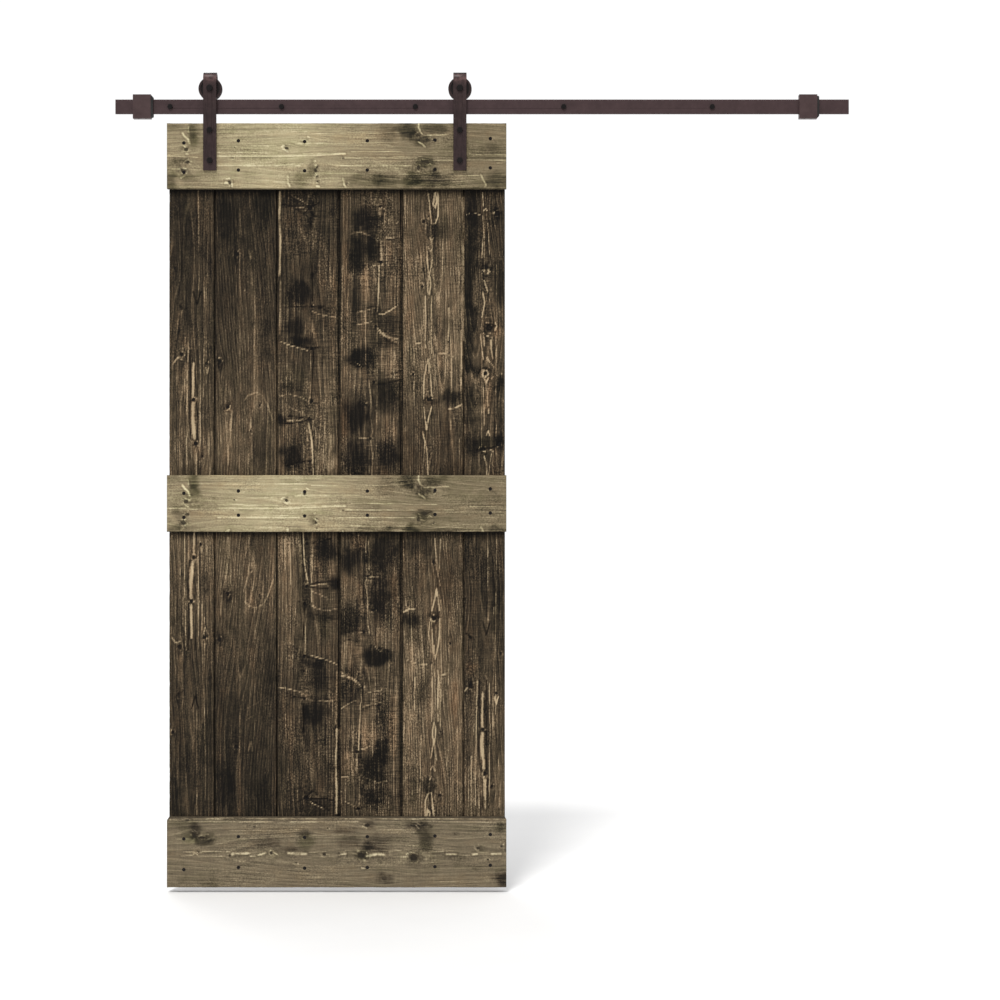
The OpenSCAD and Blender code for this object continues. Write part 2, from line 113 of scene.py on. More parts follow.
PLANK_1 = {
    "shade": [(322, .43), (584, .48), (833, .68)],
    "knots": [
        (15, 395, 5, 7, .8), (116, 545, 4, 6, .7), (34, 630, 7, 8, .9), (102, 655, 5, 6, .9),
        (91, 910, 5, 6, .8), (66, 755, 6, 7, 1), (72, 875, 6, 8, 1), (31, 500, 4, 6, .6),
    ],
    "lines": [
        (2.5, -.7, [(20, 490), (31, 500), (45, 510)]), (2, -.75, [(66, 460), (76, 495), (86, 460)]),
        (2, .6, [(99, 665), (103, 685), (109, 665)]), (3.5, .9, [(66, 655), (65, 700), (65, 745)]),
        (2, -.65, [(58, 620), (57, 700), (59, 750)]), (2, -.65, [(76, 620), (79, 700), (76, 750)]),
        (4.5, .85, [(65, 765), (64, 800), (69, 860)]), (2, -.65, [(58, 760), (55, 810), (60, 865)]),
        (2, -.65, [(75, 760), (79, 810), (76, 865)]), (1.5, .6, [(51, 620), (48, 755), (47, 960)]),
        (1.5, .55, [(84, 625), (86, 755), (83, 960)]), (3, .6, [(72, 890), (74, 970)]),
        (1.5, -.5, [(65, 890), (66, 970)]), (1.5, -.5, [(80, 890), (82, 970)]),
        (2.5, .5, [(12, 655), (23, 640), (34, 645)]), (2, .4, [(80, 170), (81, 455)]),
    ],
    "blots": [
        (36, 590, 14, 20, .1, .8), (20, 210, 16, 50, -.2, -.3), (99, 810, 18, 50, -.15, 0),
        (17, 810, 12, 70, -.15, 0), (69, 770, 14, 110, .15, .2), (58, 290, 45, 60, -.1, 0),
        (107, 375, 12, 60, -.15, -.2), (69, 950, 30, 20, -.25, 0),
    ],
}
PLANK_2 = {
    "shade": [(322, .37), (584, .48), (833, .64)],
    "knots": [
        (57, 355, 6, 7, .9), (11, 650, 6, 8, .9), (33, 775, 6, 7, .9), (120, 770, 5, 8, .6),
        (96, 840, 3, 6, .6), (139, 285, 4, 5, .6),
    ],
    "lines": [
        (2, .55, [(85, 430), (104, 440)]), (1.5, .5, [(77, 455), (112, 475), (145, 495)]),
        (2.5, .75, [(90, 345), (97, 370), (101, 345)]), (2, .7, [(14, 715), (15, 770)]),
        (2.5, .7, [(79, 755), (90, 743), (112, 735), (131, 747), (145, 775), (158, 815)]),
        (2, .6, [(77, 780), (85, 810), (93, 840), (101, 785)]), (2, .5, [(66, 170), (67, 735)]),
        (2, .45, [(107, 385), (107, 735)]), (3, .55, [(25, 785), (30, 840), (35, 930)]),
        (3, .45, [(44, 785), (39, 865), (35, 930)]), (1.5, -.55, [(52, 170), (54, 565), (49, 970)]),
        (1.5, -.45, [(128, 320), (128, 730)]),
    ],
    "blots": [
        (25, 250, 24, 60, -.35, -.2), (131, 225, 26, 60, -.25, -.8), (19, 485, 18, 80, -.1, .2),
        (145, 565, 18, 90, -.15, -.1), (112, 755, 22, 26, .1, .3), (30, 865, 18, 60, .15, .1),
        (128, 895, 26, 50, -.15, .1), (11, 655, 16, 20, -.3, 0), (33, 775, 16, 18, -.3, .3),
        (82, 565, 20, 110, .1, .1),
    ],
}
PLANK_3 = {
    "shade": [(322, .45), (584, .5), (833, .58)],
    "knots": [
        (88, 228, 8, 8, 1), (94, 500, 6, 5, .9), (94, 615, 5, 6, .9), (92, 760, 6, 6, 1),
        (87, 808, 6, 5, 1), (88, 925, 5, 5, .9), (96, 413, 3, 10, .7),
    ],
    "lines": [
        (3.5, .75, [(6, 185), (5, 250), (8, 320), (5, 415)]), (2.5, .5, [(8, 430), (5, 575)]),
        (2.5, -.95, [(13, 220), (37, 225), (88, 226)]), (2.5, -.9, [(88, 229), (102, 222), (115, 214)]),
        (2.5, -.85, [(88, 229), (72, 247), (56, 236)]), (2.5, -.85, [(91, 239), (99, 252), (115, 255)]),
        (2, -.7, [(26, 193), (53, 209), (80, 222)]), (2, .7, [(40, 197), (64, 209), (76, 216)]),
        (2, .65, [(51, 228), (72, 228)]), (2, -.9, [(94, 386), (95, 426), (96, 485)]),
        (1.5, -.6, [(90, 257), (92, 386)]), (2, -.85, [(26, 499), (94, 500), (118, 504), (145, 516)]),
        (2, -.7, [(102, 499), (123, 500), (145, 506)]), (2, .6, [(13, 494), (87, 495)]),
        (2, .6, [(94, 512), (110, 519), (145, 528), (169, 531)]),
        (2, .75, [(5, 594), (28, 604), (82, 620)]),
        (2, -.85, [(36, 604), (62, 607), (86, 614)]), (2, -.85, [(88, 619), (101, 614), (118, 610)]),
        (1.5, -.8, [(96, 573), (98, 644), (95, 700), (92, 760)]), (1.5, .5, [(91, 628), (89, 748)]),
        (2, .5, [(5, 746), (33, 740), (62, 748), (84, 760)]), (2, -.5, [(5, 717), (41, 725), (80, 734)]),
        (2, .45, [(28, 774), (52, 785), (75, 795)]), (2, -.7, [(92, 761), (109, 766)]),
        (2.5, -.9, [(28, 801), (57, 803), (86, 808)]), (2.5, -.9, [(5, 823), (60, 817), (86, 810)]),
        (2, .65, [(26, 811), (49, 814), (75, 809)]),
        (2, .9, [(84, 818), (90, 848), (94, 874), (98, 975)]),
        (1.5, -.6, [(91, 816), (96, 848), (100, 874)]), (2, -.8, [(23, 938), (54, 929), (88, 921)]),
        (1.5, .5, [(36, 937), (65, 926)]),
    ],
    "blots": [
        (45, 265, 20, 26, .05, .6), (72, 200, 60, 26, -.2, 0), (137, 415, 26, 70, .15, .4),
        (61, 460, 26, 34, -.6, -.2), (51, 555, 24, 24, -.45, 0), (57, 595, 26, 14, -.7, -.2),
        (41, 635, 26, 30, .1, .6), (46, 690, 34, 34, .05, -.7), (36, 722, 34, 14, -.3, -.3),
        (38, 855, 32, 26, .05, .5), (38, 910, 30, 32, -.7, -.1), (138, 800, 28, 190, .2, .1),
        (130, 918, 34, 60, .15, -.1), (36, 958, 30, 14, .1, .3), (10, 811, 12, 16, -.7, 0),
    ],
}
PLANK_4 = {
    "shade": [(322, .55), (584, .6), (833, .51)],
    "knots": [
        (111, 379, 5, 5, 1), (108, 225, 5, 4, .8), (102, 316, 4, 4, .7), (97, 555, 5, 5, .8),
        (66, 768, 6, 5, 1), (91, 706, 5, 5, .8), (82, 861, 5, 7, .8), (98, 780, 3, 3, .6),
    ],
    "lines": [
        (1.5, .5, [(3, 198), (148, 198)]), (2.5, -.9, [(97, 228), (107, 223), (117, 222)]),
        (2, .5, [(113, 228), (143, 244)]), (2, .5, [(105, 236), (104, 311)]),
        (2, .8, [(152, 273), (158, 268)]),
        (2.5, .6, [(30, 300), (54, 295), (84, 307), (101, 316)]), (2, -.7, [(124, 318), (159, 314)]),
        (2, .55, [(123, 314), (159, 310)]), (2, -.8, [(105, 318), (106, 381)]),
        (3, .45, [(111, 322), (112, 370)]),
        (2, .95, [(106, 386), (105, 426), (101, 514)]), (1.5, -.9, [(102, 392), (100, 440), (98, 515)]),
        (2, .6, [(76, 396), (89, 389), (100, 386)]), (2, -.7, [(46, 508), (70, 506), (97, 495)]),
        (2, .6, [(46, 515), (70, 510), (94, 504)]),
        (2, .9, [(105, 521), (119, 520), (135, 511), (153, 499)]),
        (2, -.85, [(101, 518), (119, 516)]), (2, -.8, [(92, 515), (96, 553)]),
        (2, .65, [(43, 550), (65, 546), (85, 541)]),
        (2.5, .75, [(100, 559), (113, 571), (127, 582), (156, 589)]),
        (2, -.8, [(119, 566), (140, 579), (159, 583)]), (2, .6, [(103, 568), (119, 581), (158, 599)]),
        (2, -.8, [(119, 586), (134, 598), (155, 604)]), (1.5, .95, [(39, 653), (49, 657), (61, 667)]),
        (2.5, -.95, [(24, 654), (43, 663), (61, 665)]), (3, -.9, [(92, 710), (116, 713), (163, 701)]),
        (2, -.7, [(121, 690), (142, 684), (163, 677)]), (1.5, .5, [(156, 413), (156, 504)]),
        (2, .6, [(77, 701), (83, 753), (82, 801), (88, 842), (82, 866), (88, 905), (85, 973)]),
        (2, -.5, [(88, 712), (91, 774), (95, 827)]), (2, .5, [(78, 874), (79, 958)]),
        (2, .6, [(55, 765), (62, 769)]), (2, .6, [(51, 861), (79, 859)]),
        (2, -.6, [(81, 869), (82, 900)]),
        (2, .5, [(5, 386), (3, 590)]),
    ],
    "blots": [
        (65, 257, 38, 26, -.6, -.3), (137, 285, 24, 34, .1, -.2), (65, 343, 36, 46, -.6, -.8),
        (43, 385, 18, 26, -.55, -.6), (124, 345, 22, 34, .3, .6), (84, 435, 26, 50, .3, .7),
        (14, 440, 14, 110, .1, .7), (41, 488, 14, 60, -.35, 0), (135, 547, 28, 26, -.4, -.1),
        (56, 641, 36, 24, -.75, -.5), (132, 644, 28, 46, .3, .5), (121, 602, 26, 20, -.3, 0),
        (30, 696, 36, 34, .25, .4), (129, 743, 34, 38, -.5, -.7), (48, 801, 30, 46, -.55, .1),
        (126, 832, 34, 40, .25, .5), (11, 827, 12, 60, .1, .8), (38, 918, 40, 44, -.5, -.2),
        (129, 905, 28, 34, -.6, -.1), (108, 952, 20, 20, .1, .8),
    ],
}
PLANK_5 = {
    "shade": [(322, .62), (584, .74), (833, .61)],
    "knots": [
        (57, 267, 7, 6, .9), (71, 252, 3, 4, .8), (53, 443, 4, 5, .9), (28, 685, 4, 5, 1),
        (72, 753, 8, 8, 1), (144, 789, 5, 5, .5), (73, 908, 4, 9, .7),
    ],
    "lines": [
        (2, .8, [(70, 190), (76, 249), (79, 275), (89, 273), (96, 252), (96, 190)]),
        (2.5, .85, [(87, 188), (83, 221), (89, 229), (92, 214), (89, 188)]),
        (1.5, -.6, [(73, 196), (82, 239), (84, 268)]), (2, .6, [(73, 311), (79, 320), (84, 311)]),
        (2, .8, [(69, 335), (75, 351), (82, 338)]), (2, .65, [(65, 365), (69, 386), (71, 413)]),
        (2, .75, [(80, 370), (77, 392), (73, 410)]), (1.5, -.7, [(71, 376), (73, 402)]),
        (2, .85, [(71, 413), (68, 435), (68, 451), (71, 468)]),
        (2, .85, [(73, 413), (76, 435), (75, 451), (72, 468)]), (1.5, -.6, [(72, 427), (72, 451)]),
        (1.5, .5, [(55, 453), (57, 593)]), (2, .75, [(61, 472), (62, 534), (61, 593)]),
        (1.5, -.6, [(70, 480), (71, 593)]), (1.5, .6, [(79, 472), (77, 534), (77, 593)]),
        (2, .75, [(125, 504), (126, 547), (124, 593)]), (2, .55, [(164, 198), (164, 593)]),
        (2.5, .9, [(36, 601), (47, 600)]), (2, .7, [(57, 570), (62, 612)]),
        (2, .65, [(77, 565), (78, 628)]),
        (2, .85, [(69, 641), (60, 683), (57, 712), (57, 753)]),
        (2, .8, [(69, 641), (74, 659), (79, 746)]),
        (2, .7, [(70, 651), (72, 680)]), (1.5, .55, [(87, 631), (89, 685), (83, 746)]),
        (1.5, .5, [(91, 626), (120, 629), (146, 640)]), (2, .5, [(161, 565), (160, 712)]),
        (2.5, .7, [(125, 780), (141, 778), (160, 769)]), (2, .8, [(69, 747), (82, 746)]),
        (2, .8, [(57, 774), (60, 806), (64, 838)]), (2, .8, [(78, 774), (70, 806), (65, 838)]),
        (2.5, .8, [(64, 816), (64, 836)]), (2, .7, [(55, 842), (60, 874), (58, 892), (54, 973)]),
        (2, .6, [(60, 866), (65, 890), (69, 973)]), (1.5, -.7, [(62, 840), (62, 866)]),
        (1.5, -.6, [(57, 900), (56, 975)]),
    ],
    "blots": [
        (82, 295, 20, 22, -.35, -.5), (116, 280, 22, 34, -.15, -.4), (134, 225, 40, 60, .15, 0),
        (113, 560, 34, 40, -.15, -.1), (19, 530, 14, 60, .1, .8), (136, 748, 30, 18, -.6, -.3),
        (28, 696, 14, 26, -.2, .2), (136, 631, 34, 46, .15, .3), (31, 880, 36, 90, -.1, .5),
        (125, 892, 44, 90, -.1, .4), (120, 958, 50, 26, -.25, 0), (72, 756, 16, 16, -.3, .3),
        (140, 413, 34, 120, .1, .1), (27, 359, 30, 110, .1, .4),
    ],
}
PLANK_6 = {
    "shade": [(322, .44), (584, .58), (833, .55), (1268, .43), (1536, .51), (1774, .68)],
    "knots": [
        (19, 244, 6, 5, .8), (89, 244, 7, 6, .9), (60, 393, 8, 8, .9), (68, 558, 13, 12, .8),
        (57, 683, 7, 7, 1), (35, 751, 4, 4, .8), (31, 769, 4, 4, .8), (51, 890, 9, 6, 1),
        (94, 876, 7, 7, .9),
    ],
    "lines": [
        (2, .55, [(50, 188), (51, 225)]), (2, .75, [(26, 243), (43, 248)]),
        (1.5, .6, [(6, 248), (15, 243)]),
        (1.5, .6, [(76, 244), (100, 242)]), (2, .7, [(53, 236), (58, 232), (62, 236)]),
        (2, .6, [(50, 252), (52, 292), (48, 367)]), (1.5, .55, [(64, 273), (66, 311), (69, 359)]),
        (2, .85, [(49, 400), (54, 406)]), (2, .85, [(64, 408), (72, 402)]),
        (2, .8, [(54, 429), (64, 460)]),
        (2, .65, [(50, 461), (55, 488), (48, 529)]), (1.5, .5, [(69, 480), (72, 510), (75, 531)]),
        (2, .9, [(53, 572), (58, 578), (66, 581)]), (2, .85, [(65, 555), (73, 553)]),
        (2, .8, [(85, 545), (89, 553), (84, 566)]), (2, .7, [(44, 576), (47, 604), (52, 644)]),
        (2, .65, [(53, 581), (55, 607)]), (2, .75, [(72, 591), (73, 617), (78, 644)]),
        (2, .7, [(62, 641), (74, 657), (82, 667)]),
        (2.5, -.9, [(39, 683), (44, 671), (57, 667), (72, 675)]),
        (2, .95, [(49, 693), (53, 678), (62, 678), (66, 685), (56, 695), (49, 693)]),
        (2, .75, [(53, 696), (60, 708), (65, 697)]), (2, .6, [(60, 712), (65, 772)]),
        (2.5, .95, [(66, 782), (66, 792)]), (1.5, .55, [(51, 712), (53, 764), (55, 827)]),
        (1.5, .5, [(74, 696), (90, 687), (103, 685)]), (2, .8, [(60, 853), (65, 839), (69, 852)]),
        (2.5, -.5, [(6, 644), (9, 801), (6, 905)]),
        (2.5, -.85, [(35, 892), (69, 890), (87, 882), (103, 863)]),
        (2.5, .9, [(49, 893), (57, 898)]), (2, .8, [(70, 892), (79, 895)]),
        (2, -.8, [(48, 900), (60, 905)]),
        (2, .75, [(54, 910), (60, 931), (62, 973)]), (1.5, .6, [(74, 903), (69, 931), (66, 973)]),
    ],
    "blots": [
        (22, 257, 18, 26, -.3, -.3), (89, 252, 22, 22, -.4, -.8), (14, 212, 18, 44, -.35, 0),
        (14, 386, 16, 110, -.35, -.7), (61, 386, 22, 14, -.4, -.1), (97, 440, 14, 60, -.3, -.3),
        (17, 547, 18, 60, -.4, -.6), (76, 558, 18, 18, -.2, .5), (95, 569, 14, 14, .25, .6),
        (11, 617, 16, 60, -.35, -.6), (17, 670, 24, 18, -.45, -.5), (95, 712, 14, 26, -.5, -.4),
        (64, 748, 12, 60, .15, .7), (92, 801, 14, 60, -.2, 0), (14, 774, 14, 60, -.2, -.5),
        (64, 874, 26, 14, -.15, -.9), (95, 874, 14, 22, -.6, -.5), (22, 879, 26, 26, -.4, -.5),
    ],
}
PLANKS = [PLANK_1, PLANK_2, PLANK_3, PLANK_4, PLANK_5, PLANK_6]

UPPER_LEDGE = {
    # Along the upper ledges the tone is lighter at the left and darker towards the right end: partly the
    # boards' own tone, partly painted light.
    "shade": [(96, .58), (273, .74), (459, .64), (650, .46), (830, .43)],
    "knots": [
        (53, 72, 7, 6, .9), (56, 107, 8, 6, .9), (45, 130, 9, 7, 1), (185, 67, 4, 2, .8), (181, 97, 4, 2, .7),
        (172, 162, 5, 8, .9), (328, 69, 6, 5, .9), (377, 52, 6, 5, .8), (410, 120, 4, 4, .9),
        (406, 130, 4, 6, 1), (410, 146, 4, 4, .8), (412, 159, 4, 4, .9), (481, 97, 4, 3, .7),
        (491, 166, 6, 6, .5), (690, 32, 9, 6, .6), (712, 46, 8, 8, .6), (730, 47, 5, 3, .9),
        (704, 104, 12, 5, .9), (688, 122, 7, 8, .8), (729, 130, 4, 5, .9), (883, 41, 4, 3, .9),
    ],
    "lines": [
        (1.5, .55, [(1, 90), (85, 93)]), (3, .8, [(43, 27), (49, 37), (58, 44), (62, 56)]),
        (2, .5, [(58, 10), (60, 26)]), (2.5, -.6, [(63, 16), (66, 38)]), (2.5, .7, [(53, 84), (59, 86)]),
        (2.5, .7, [(51, 106), (59, 99)]), (2, .7, [(46, 129), (51, 120)]), (2.5, .6, [(39, 150), (47, 144)]),
        (2.5, -.7, [(34, 124), (49, 135)]), (2, .65, [(139, 90), (303, 91), (476, 85)]),
        (1.5, .5, [(139, 81), (303, 82)]), (1.5, -.45, [(198, 95), (303, 94)]),
        (1.5, .45, [(220, 62), (303, 63)]),
        (2, .6, [(139, 116), (364, 116)]), (2, .7, [(162, 154), (171, 150)]),
        (2.5, .8, [(160, 163), (170, 163)]),
        (3, .7, [(178, 166), (179, 174)]), (2, -.6, [(176, 152), (170, 166)]),
        (2, .8, [(313, 66), (319, 61), (323, 63)]), (2.5, .8, [(320, 72), (330, 78)]),
        (2, -.7, [(322, 64), (333, 72)]),
        (2, .7, [(384, 36), (388, 39)]), (1.5, .5, [(372, 84), (464, 83)]), (3, .75, [(468, 84), (486, 84)]),
        (2, .7, [(488, 95), (684, 95)]), (1.5, -.6, [(488, 98), (678, 97)]),
        (1.5, .5, [(504, 77), (738, 80)]),
        (1.5, .6, [(460, 116), (678, 116)]), (2, .75, [(402, 106), (407, 104)]),
        (2.5, .85, [(409, 172), (417, 173)]),
        (2, -.7, [(400, 126), (410, 134)]), (3, .8, [(330, 146), (331, 162), (336, 173)]),
        (2.5, .8, [(481, 152), (484, 166), (489, 175)]), (2.5, .75, [(688, 1), (688, 12), (692, 23)]),
        (2, .6, [(692, 23), (702, 34), (770, 31)]), (2.5, .7, [(688, 52), (698, 57), (705, 64)]),
        (2, -.7, [(682, 26), (694, 42), (706, 52)]), (1.5, .5, [(618, 91), (684, 90), (726, 95), (784, 95)]),
        (1.5, -.6, [(720, 98), (784, 98)]), (2, .75, [(710, 117), (718, 111), (724, 114)]),
        (2, .75, [(696, 122), (704, 124)]), (2.5, -.9, [(698, 110), (712, 106), (724, 100)]),
        (1.5, .5, [(694, 136), (726, 141), (859, 144)]), (1.5, -.6, [(830, 82), (927, 84)]),
        (1.5, .5, [(826, 84), (927, 87)]), (1.5, -.55, [(826, 97), (927, 96)]),
        (2.5, .8, [(859, 142), (865, 156), (872, 167), (870, 175)]), (2, -.6, [(893, 44), (901, 54)]),
    ],
    "blots": [
        (75, 24, 18, 22, -.45, -.7), (15, 8, 26, 14, -.2, -.1), (11, 160, 24, 24, -.4, -.4),
        (35, 106, 22, 14, -.3, -.3), (55, 152, 28, 18, -.2, -.2), (73, 46, 16, 20, -.25, -.5),
        (170, 56, 60, 70, .05, .1), (354, 54, 60, 60, .1, -.1), (362, 156, 30, 20, -.3, -.5),
        (396, 126, 10, 20, -.25, -.4), (544, 156, 60, 18, -.3, -.3), (604, 156, 30, 20, -.35, -.3),
        (602, 26, 24, 30, -.2, 0), (656, 18, 26, 20, -.5, -.4), (734, 16, 34, 14, -.35, -.3),
        (698, 44, 26, 22, -.35, -.4), (702, 106, 26, 14, -.35, -.6), (666, 156, 24, 20, -.4, -.6),
        (710, 156, 40, 22, -.25, -.3), (758, 158, 40, 20, -.3, 0), (899, 156, 26, 20, -.35, -.1),
        (889, 66, 22, 14, -.2, 0),
    ],
}
BOTTOM_LEDGE = {
    "shade": [(0, .57), (928, .57)],
    "knots": [
        (75, 49, 7, 10, .8), (95, 55, 10, 4, .9), (88, 93, 5, 4, .7), (173, 105, 4, 5, .8),
        (238, 26, 6, 3, .7),
        (57, 8, 6, 2, .9), (286, 97, 6, 5, .8), (374, 55, 5, 4, .6), (440, 31, 3, 4, .8),
        (548, 22, 10, 5, .8),
        (430, 101, 7, 6, .7), (470, 99, 3, 5, .7), (532, 103, 14, 10, .8), (354, 125, 5, 2, .8),
        (594, 167, 10, 9, .5), (678, 17, 7, 3, .7), (674, 111, 13, 11, .7), (804, 112, 5, 4, .8),
        (850, 84, 8, 5, .7), (877, 115, 5, 3, .7), (788, 46, 3, 3, .6), (915, 79, 5, 6, .6),
    ],
    "lines": [
        # The first four lines run along the top edge, on its bevel and just under it: a painted highlight
        # where the edge catches the light.
        (2, .75, [(7, 7), (170, 4), (504, 5), (798, 5), (927, 7)]), (2, .7, [(61, 12), (290, 12)]),
        (2, .75, [(336, 12), (524, 12)]), (1.5, .5, [(564, 11), (927, 12)]),
        (1.5, -.5, [(97, 15), (218, 16)]),
        (1.5, -.6, [(654, 17), (714, 17)]), (2, .6, [(45, 94), (77, 95), (85, 103)]),
        (2, .7, [(39, 105), (69, 104), (77, 98)]), (2, -.55, [(47, 91), (89, 93)]),
        (1.5, .65, [(98, 93), (172, 94)]),
        (1.5, .7, [(85, 108), (170, 105)]), (1.5, -.5, [(103, 99), (166, 99)]),
        (3.5, 1, [(176, 103), (186, 98), (225, 98)]), (2.5, .9, [(190, 100), (220, 101)]),
        (2.5, .9, [(248, 103), (260, 101), (270, 97)]), (2, .7, [(228, 106), (242, 105)]),
        (2, .7, [(290, 95), (303, 103)]), (1.5, -.55, [(178, 107), (226, 103), (248, 107)]),
        (4, 1, [(332, 98), (352, 98), (381, 100)]), (2.5, .8, [(340, 101), (360, 102)]),
        (1.5, .7, [(390, 95), (439, 94)]), (2, -.6, [(384, 99), (424, 98)]),
        (1.5, .65, [(400, 107), (464, 108)]),
        (2.5, .85, [(472, 102), (491, 100)]), (2.5, .8, [(510, 99), (516, 99)]),
        (4, 1, [(544, 106), (576, 101), (594, 102)]), (2, .7, [(556, 105), (592, 104)]),
        (2, .75, [(606, 94), (618, 94)]), (2, .65, [(618, 108), (656, 107)]),
        (2.5, .85, [(654, 101), (664, 96), (676, 97)]), (2, -.7, [(664, 103), (688, 103)]),
        (1.5, .7, [(714, 95), (766, 92)]), (1.5, .6, [(700, 105), (756, 105)]),
        (2, -.7, [(726, 100), (770, 96)]),
        (3, .95, [(764, 100), (792, 101)]), (1.5, -.65, [(766, 95), (834, 100)]),
        (1.5, .6, [(792, 102), (828, 105)]),
        (3, .95, [(836, 102), (848, 100)]), (1.5, .6, [(850, 96), (879, 97)]),
        (3, .9, [(888, 100), (913, 99)]),
        (2, .6, [(85, 52), (97, 48), (113, 46)]), (2.5, .9, [(532, 138), (540, 139)]),
        (2, .85, [(681, 22), (688, 30)]), (2, -.6, [(925, 67), (927, 95)]),
    ],
    "blots": [
        (79, 33, 14, 26, -.5, .1), (101, 63, 26, 18, -.45, -.3), (65, 59, 20, 18, .1, -.6),
        (55, 21, 40, 14, -.15, -.3), (260, 69, 44, 14, -.3, .1), (380, 71, 24, 20, -.1, -.8),
        (334, 87, 30, 10, -.25, .3), (370, 43, 20, 8, -.35, -.3), (484, 37, 34, 8, -.3, .3),
        (506, 67, 30, 14, -.3, .1), (542, 79, 18, 12, -.5, -.4), (550, 21, 20, 10, -.35, .1),
        (574, 71, 34, 24, -.3, .2), (530, 103, 24, 14, -.3, -.4), (588, 167, 26, 14, -.35, .2),
        (684, 23, 30, 10, -.5, .1), (706, 55, 20, 34, -.45, -.6), (674, 113, 22, 14, -.35, -.1),
        (913, 25, 14, 16, -.3, -.4), (919, 173, 16, 20, -.5, .2), (911, 165, 24, 16, -.3, 0),
    ],
}


STRAY_LENGTHS = (60, 400)
STRAY_HALF_WIDTH = 1.5
STRAY_STRENGTHS = (.37, .37, -.4)
STRAY_SEED, PLANK_STRAYS, UPPER_STRAYS, BOTTOM_STRAYS = 500, 12, 16, 14
# The stretch of each board that has strays: its width, and from where to where along it.
PLANK_SIDES, PLANK_FROM, PLANK_TO = (120, 160, 170, 163, 165, 104), 170, 970
UPPER_SIDE, BOTTOM_SIDE, LEDGE_LENGTH = 176, 182, 927


def turned(marks):
    """Marks listed along and across a ledge, as across and along."""
    return {
        "shade": marks["shade"],
        "knots": [(b, a, rb, ra, k) for a, b, ra, rb, k in marks["knots"]],
        "lines": [(w, k, [(b, a) for a, b in pts]) for w, k, pts in marks["lines"]],
        "blots": [(b, a, rb, ra, t, c) for a, b, ra, rb, t, c in marks["blots"]],
    }


def shifted(marks, du, dv):
    """The same marks, moved."""
    return {
        "knots": [(u + du, v + dv, a, b, k) for u, v, a, b, k in marks["knots"]],
        "lines": [(w, k, [(u + du, v + dv) for u, v in pts]) for w, k, pts in marks["lines"]],
        "blots": [(u + du, v + dv, a, b, t, c) for u, v, a, b, t, c in marks["blots"]],
    }


def strays(seed, count, side, start, end):
    """Faint streaks and fine cracks along the grain, in places drawn from the seed."""
    rng = np.random.default_rng(seed)
    out = []
    for k in range(count):
        at = rng.uniform(4, side - 4)
        near = rng.uniform(start, end)
        far = min(near + rng.uniform(*STRAY_LENGTHS), end)
        path = [(at, near), (at + rng.uniform(-2, 2), (near + far) / 2), (at + rng.uniform(-3, 3), far)]
        out.append((STRAY_HALF_WIDTH, STRAY_STRENGTHS[k % len(STRAY_STRENGTHS)], path))
    return out


UPPER_LEDGE, BOTTOM_LEDGE = turned(UPPER_LEDGE), turned(BOTTOM_LEDGE)
for k, side in enumerate(PLANK_SIDES):
    PLANKS[k]["lines"] += strays(STRAY_SEED + k, PLANK_STRAYS, side, PLANK_FROM, PLANK_TO)
UPPER_LEDGE["lines"] += strays(STRAY_SEED + 6, UPPER_STRAYS, UPPER_SIDE, 0, LEDGE_LENGTH)
BOTTOM_LEDGE["lines"] += strays(STRAY_SEED + 7, BOTTOM_STRAYS, BOTTOM_SIDE, 0, LEDGE_LENGTH)

# Below the fold line the first five planks repeat their upper figure, mirrored or turned end for end.
# Each fold is the line's distance from the door's top, 1 or -1 for mirrored or turned, and the shift across.
FOLDS = [(1031, 1, 5), (1031, 1, 0), (1037, -1, 167), (1050, -1, 156), (1054, -1, 157), None]
# The sixth plank's lower half has the first plank's marks.
for kind, items in shifted(PLANKS[0], -16, 905).items():
    PLANKS[5][kind] = PLANKS[5][kind] + items

# What a line's half width is scaled by, how strongly blots show in front, and how much less at the back.
LINE_SPREAD = 0.74
BLOT_TONE, BACK_BLOT_DROP = 0.68, 0.43
# The plain tone of a board's back, and the painted shadow band that a ledge casts just below it.
BACK_TONE = 0.45
UNDER_SHADOW_TONE, UNDER_SHADOW_REACH = 0.4, 9
# The deepest relief, how far the worn edges reach back, and the planks' joint.
DEEPEST, WORN_EDGE = 1.9, 4.2
TONGUE, GROOVE = 6, 7


def to_line(u, v, pts):
    """How far each point is from a line through pts."""
    best = np.full(u.shape, 1e9)
    for (a, b), (c, d) in zip(pts[:-1], pts[1:]):
        du, dv = c - a, d - b
        t = np.clip(((u - a) * du + (v - b) * dv) / (du * du + dv * dv + 1e-9), 0, 1)
        best = np.minimum(best, np.hypot(u - a - t * du, v - b - t * dv))
    return best


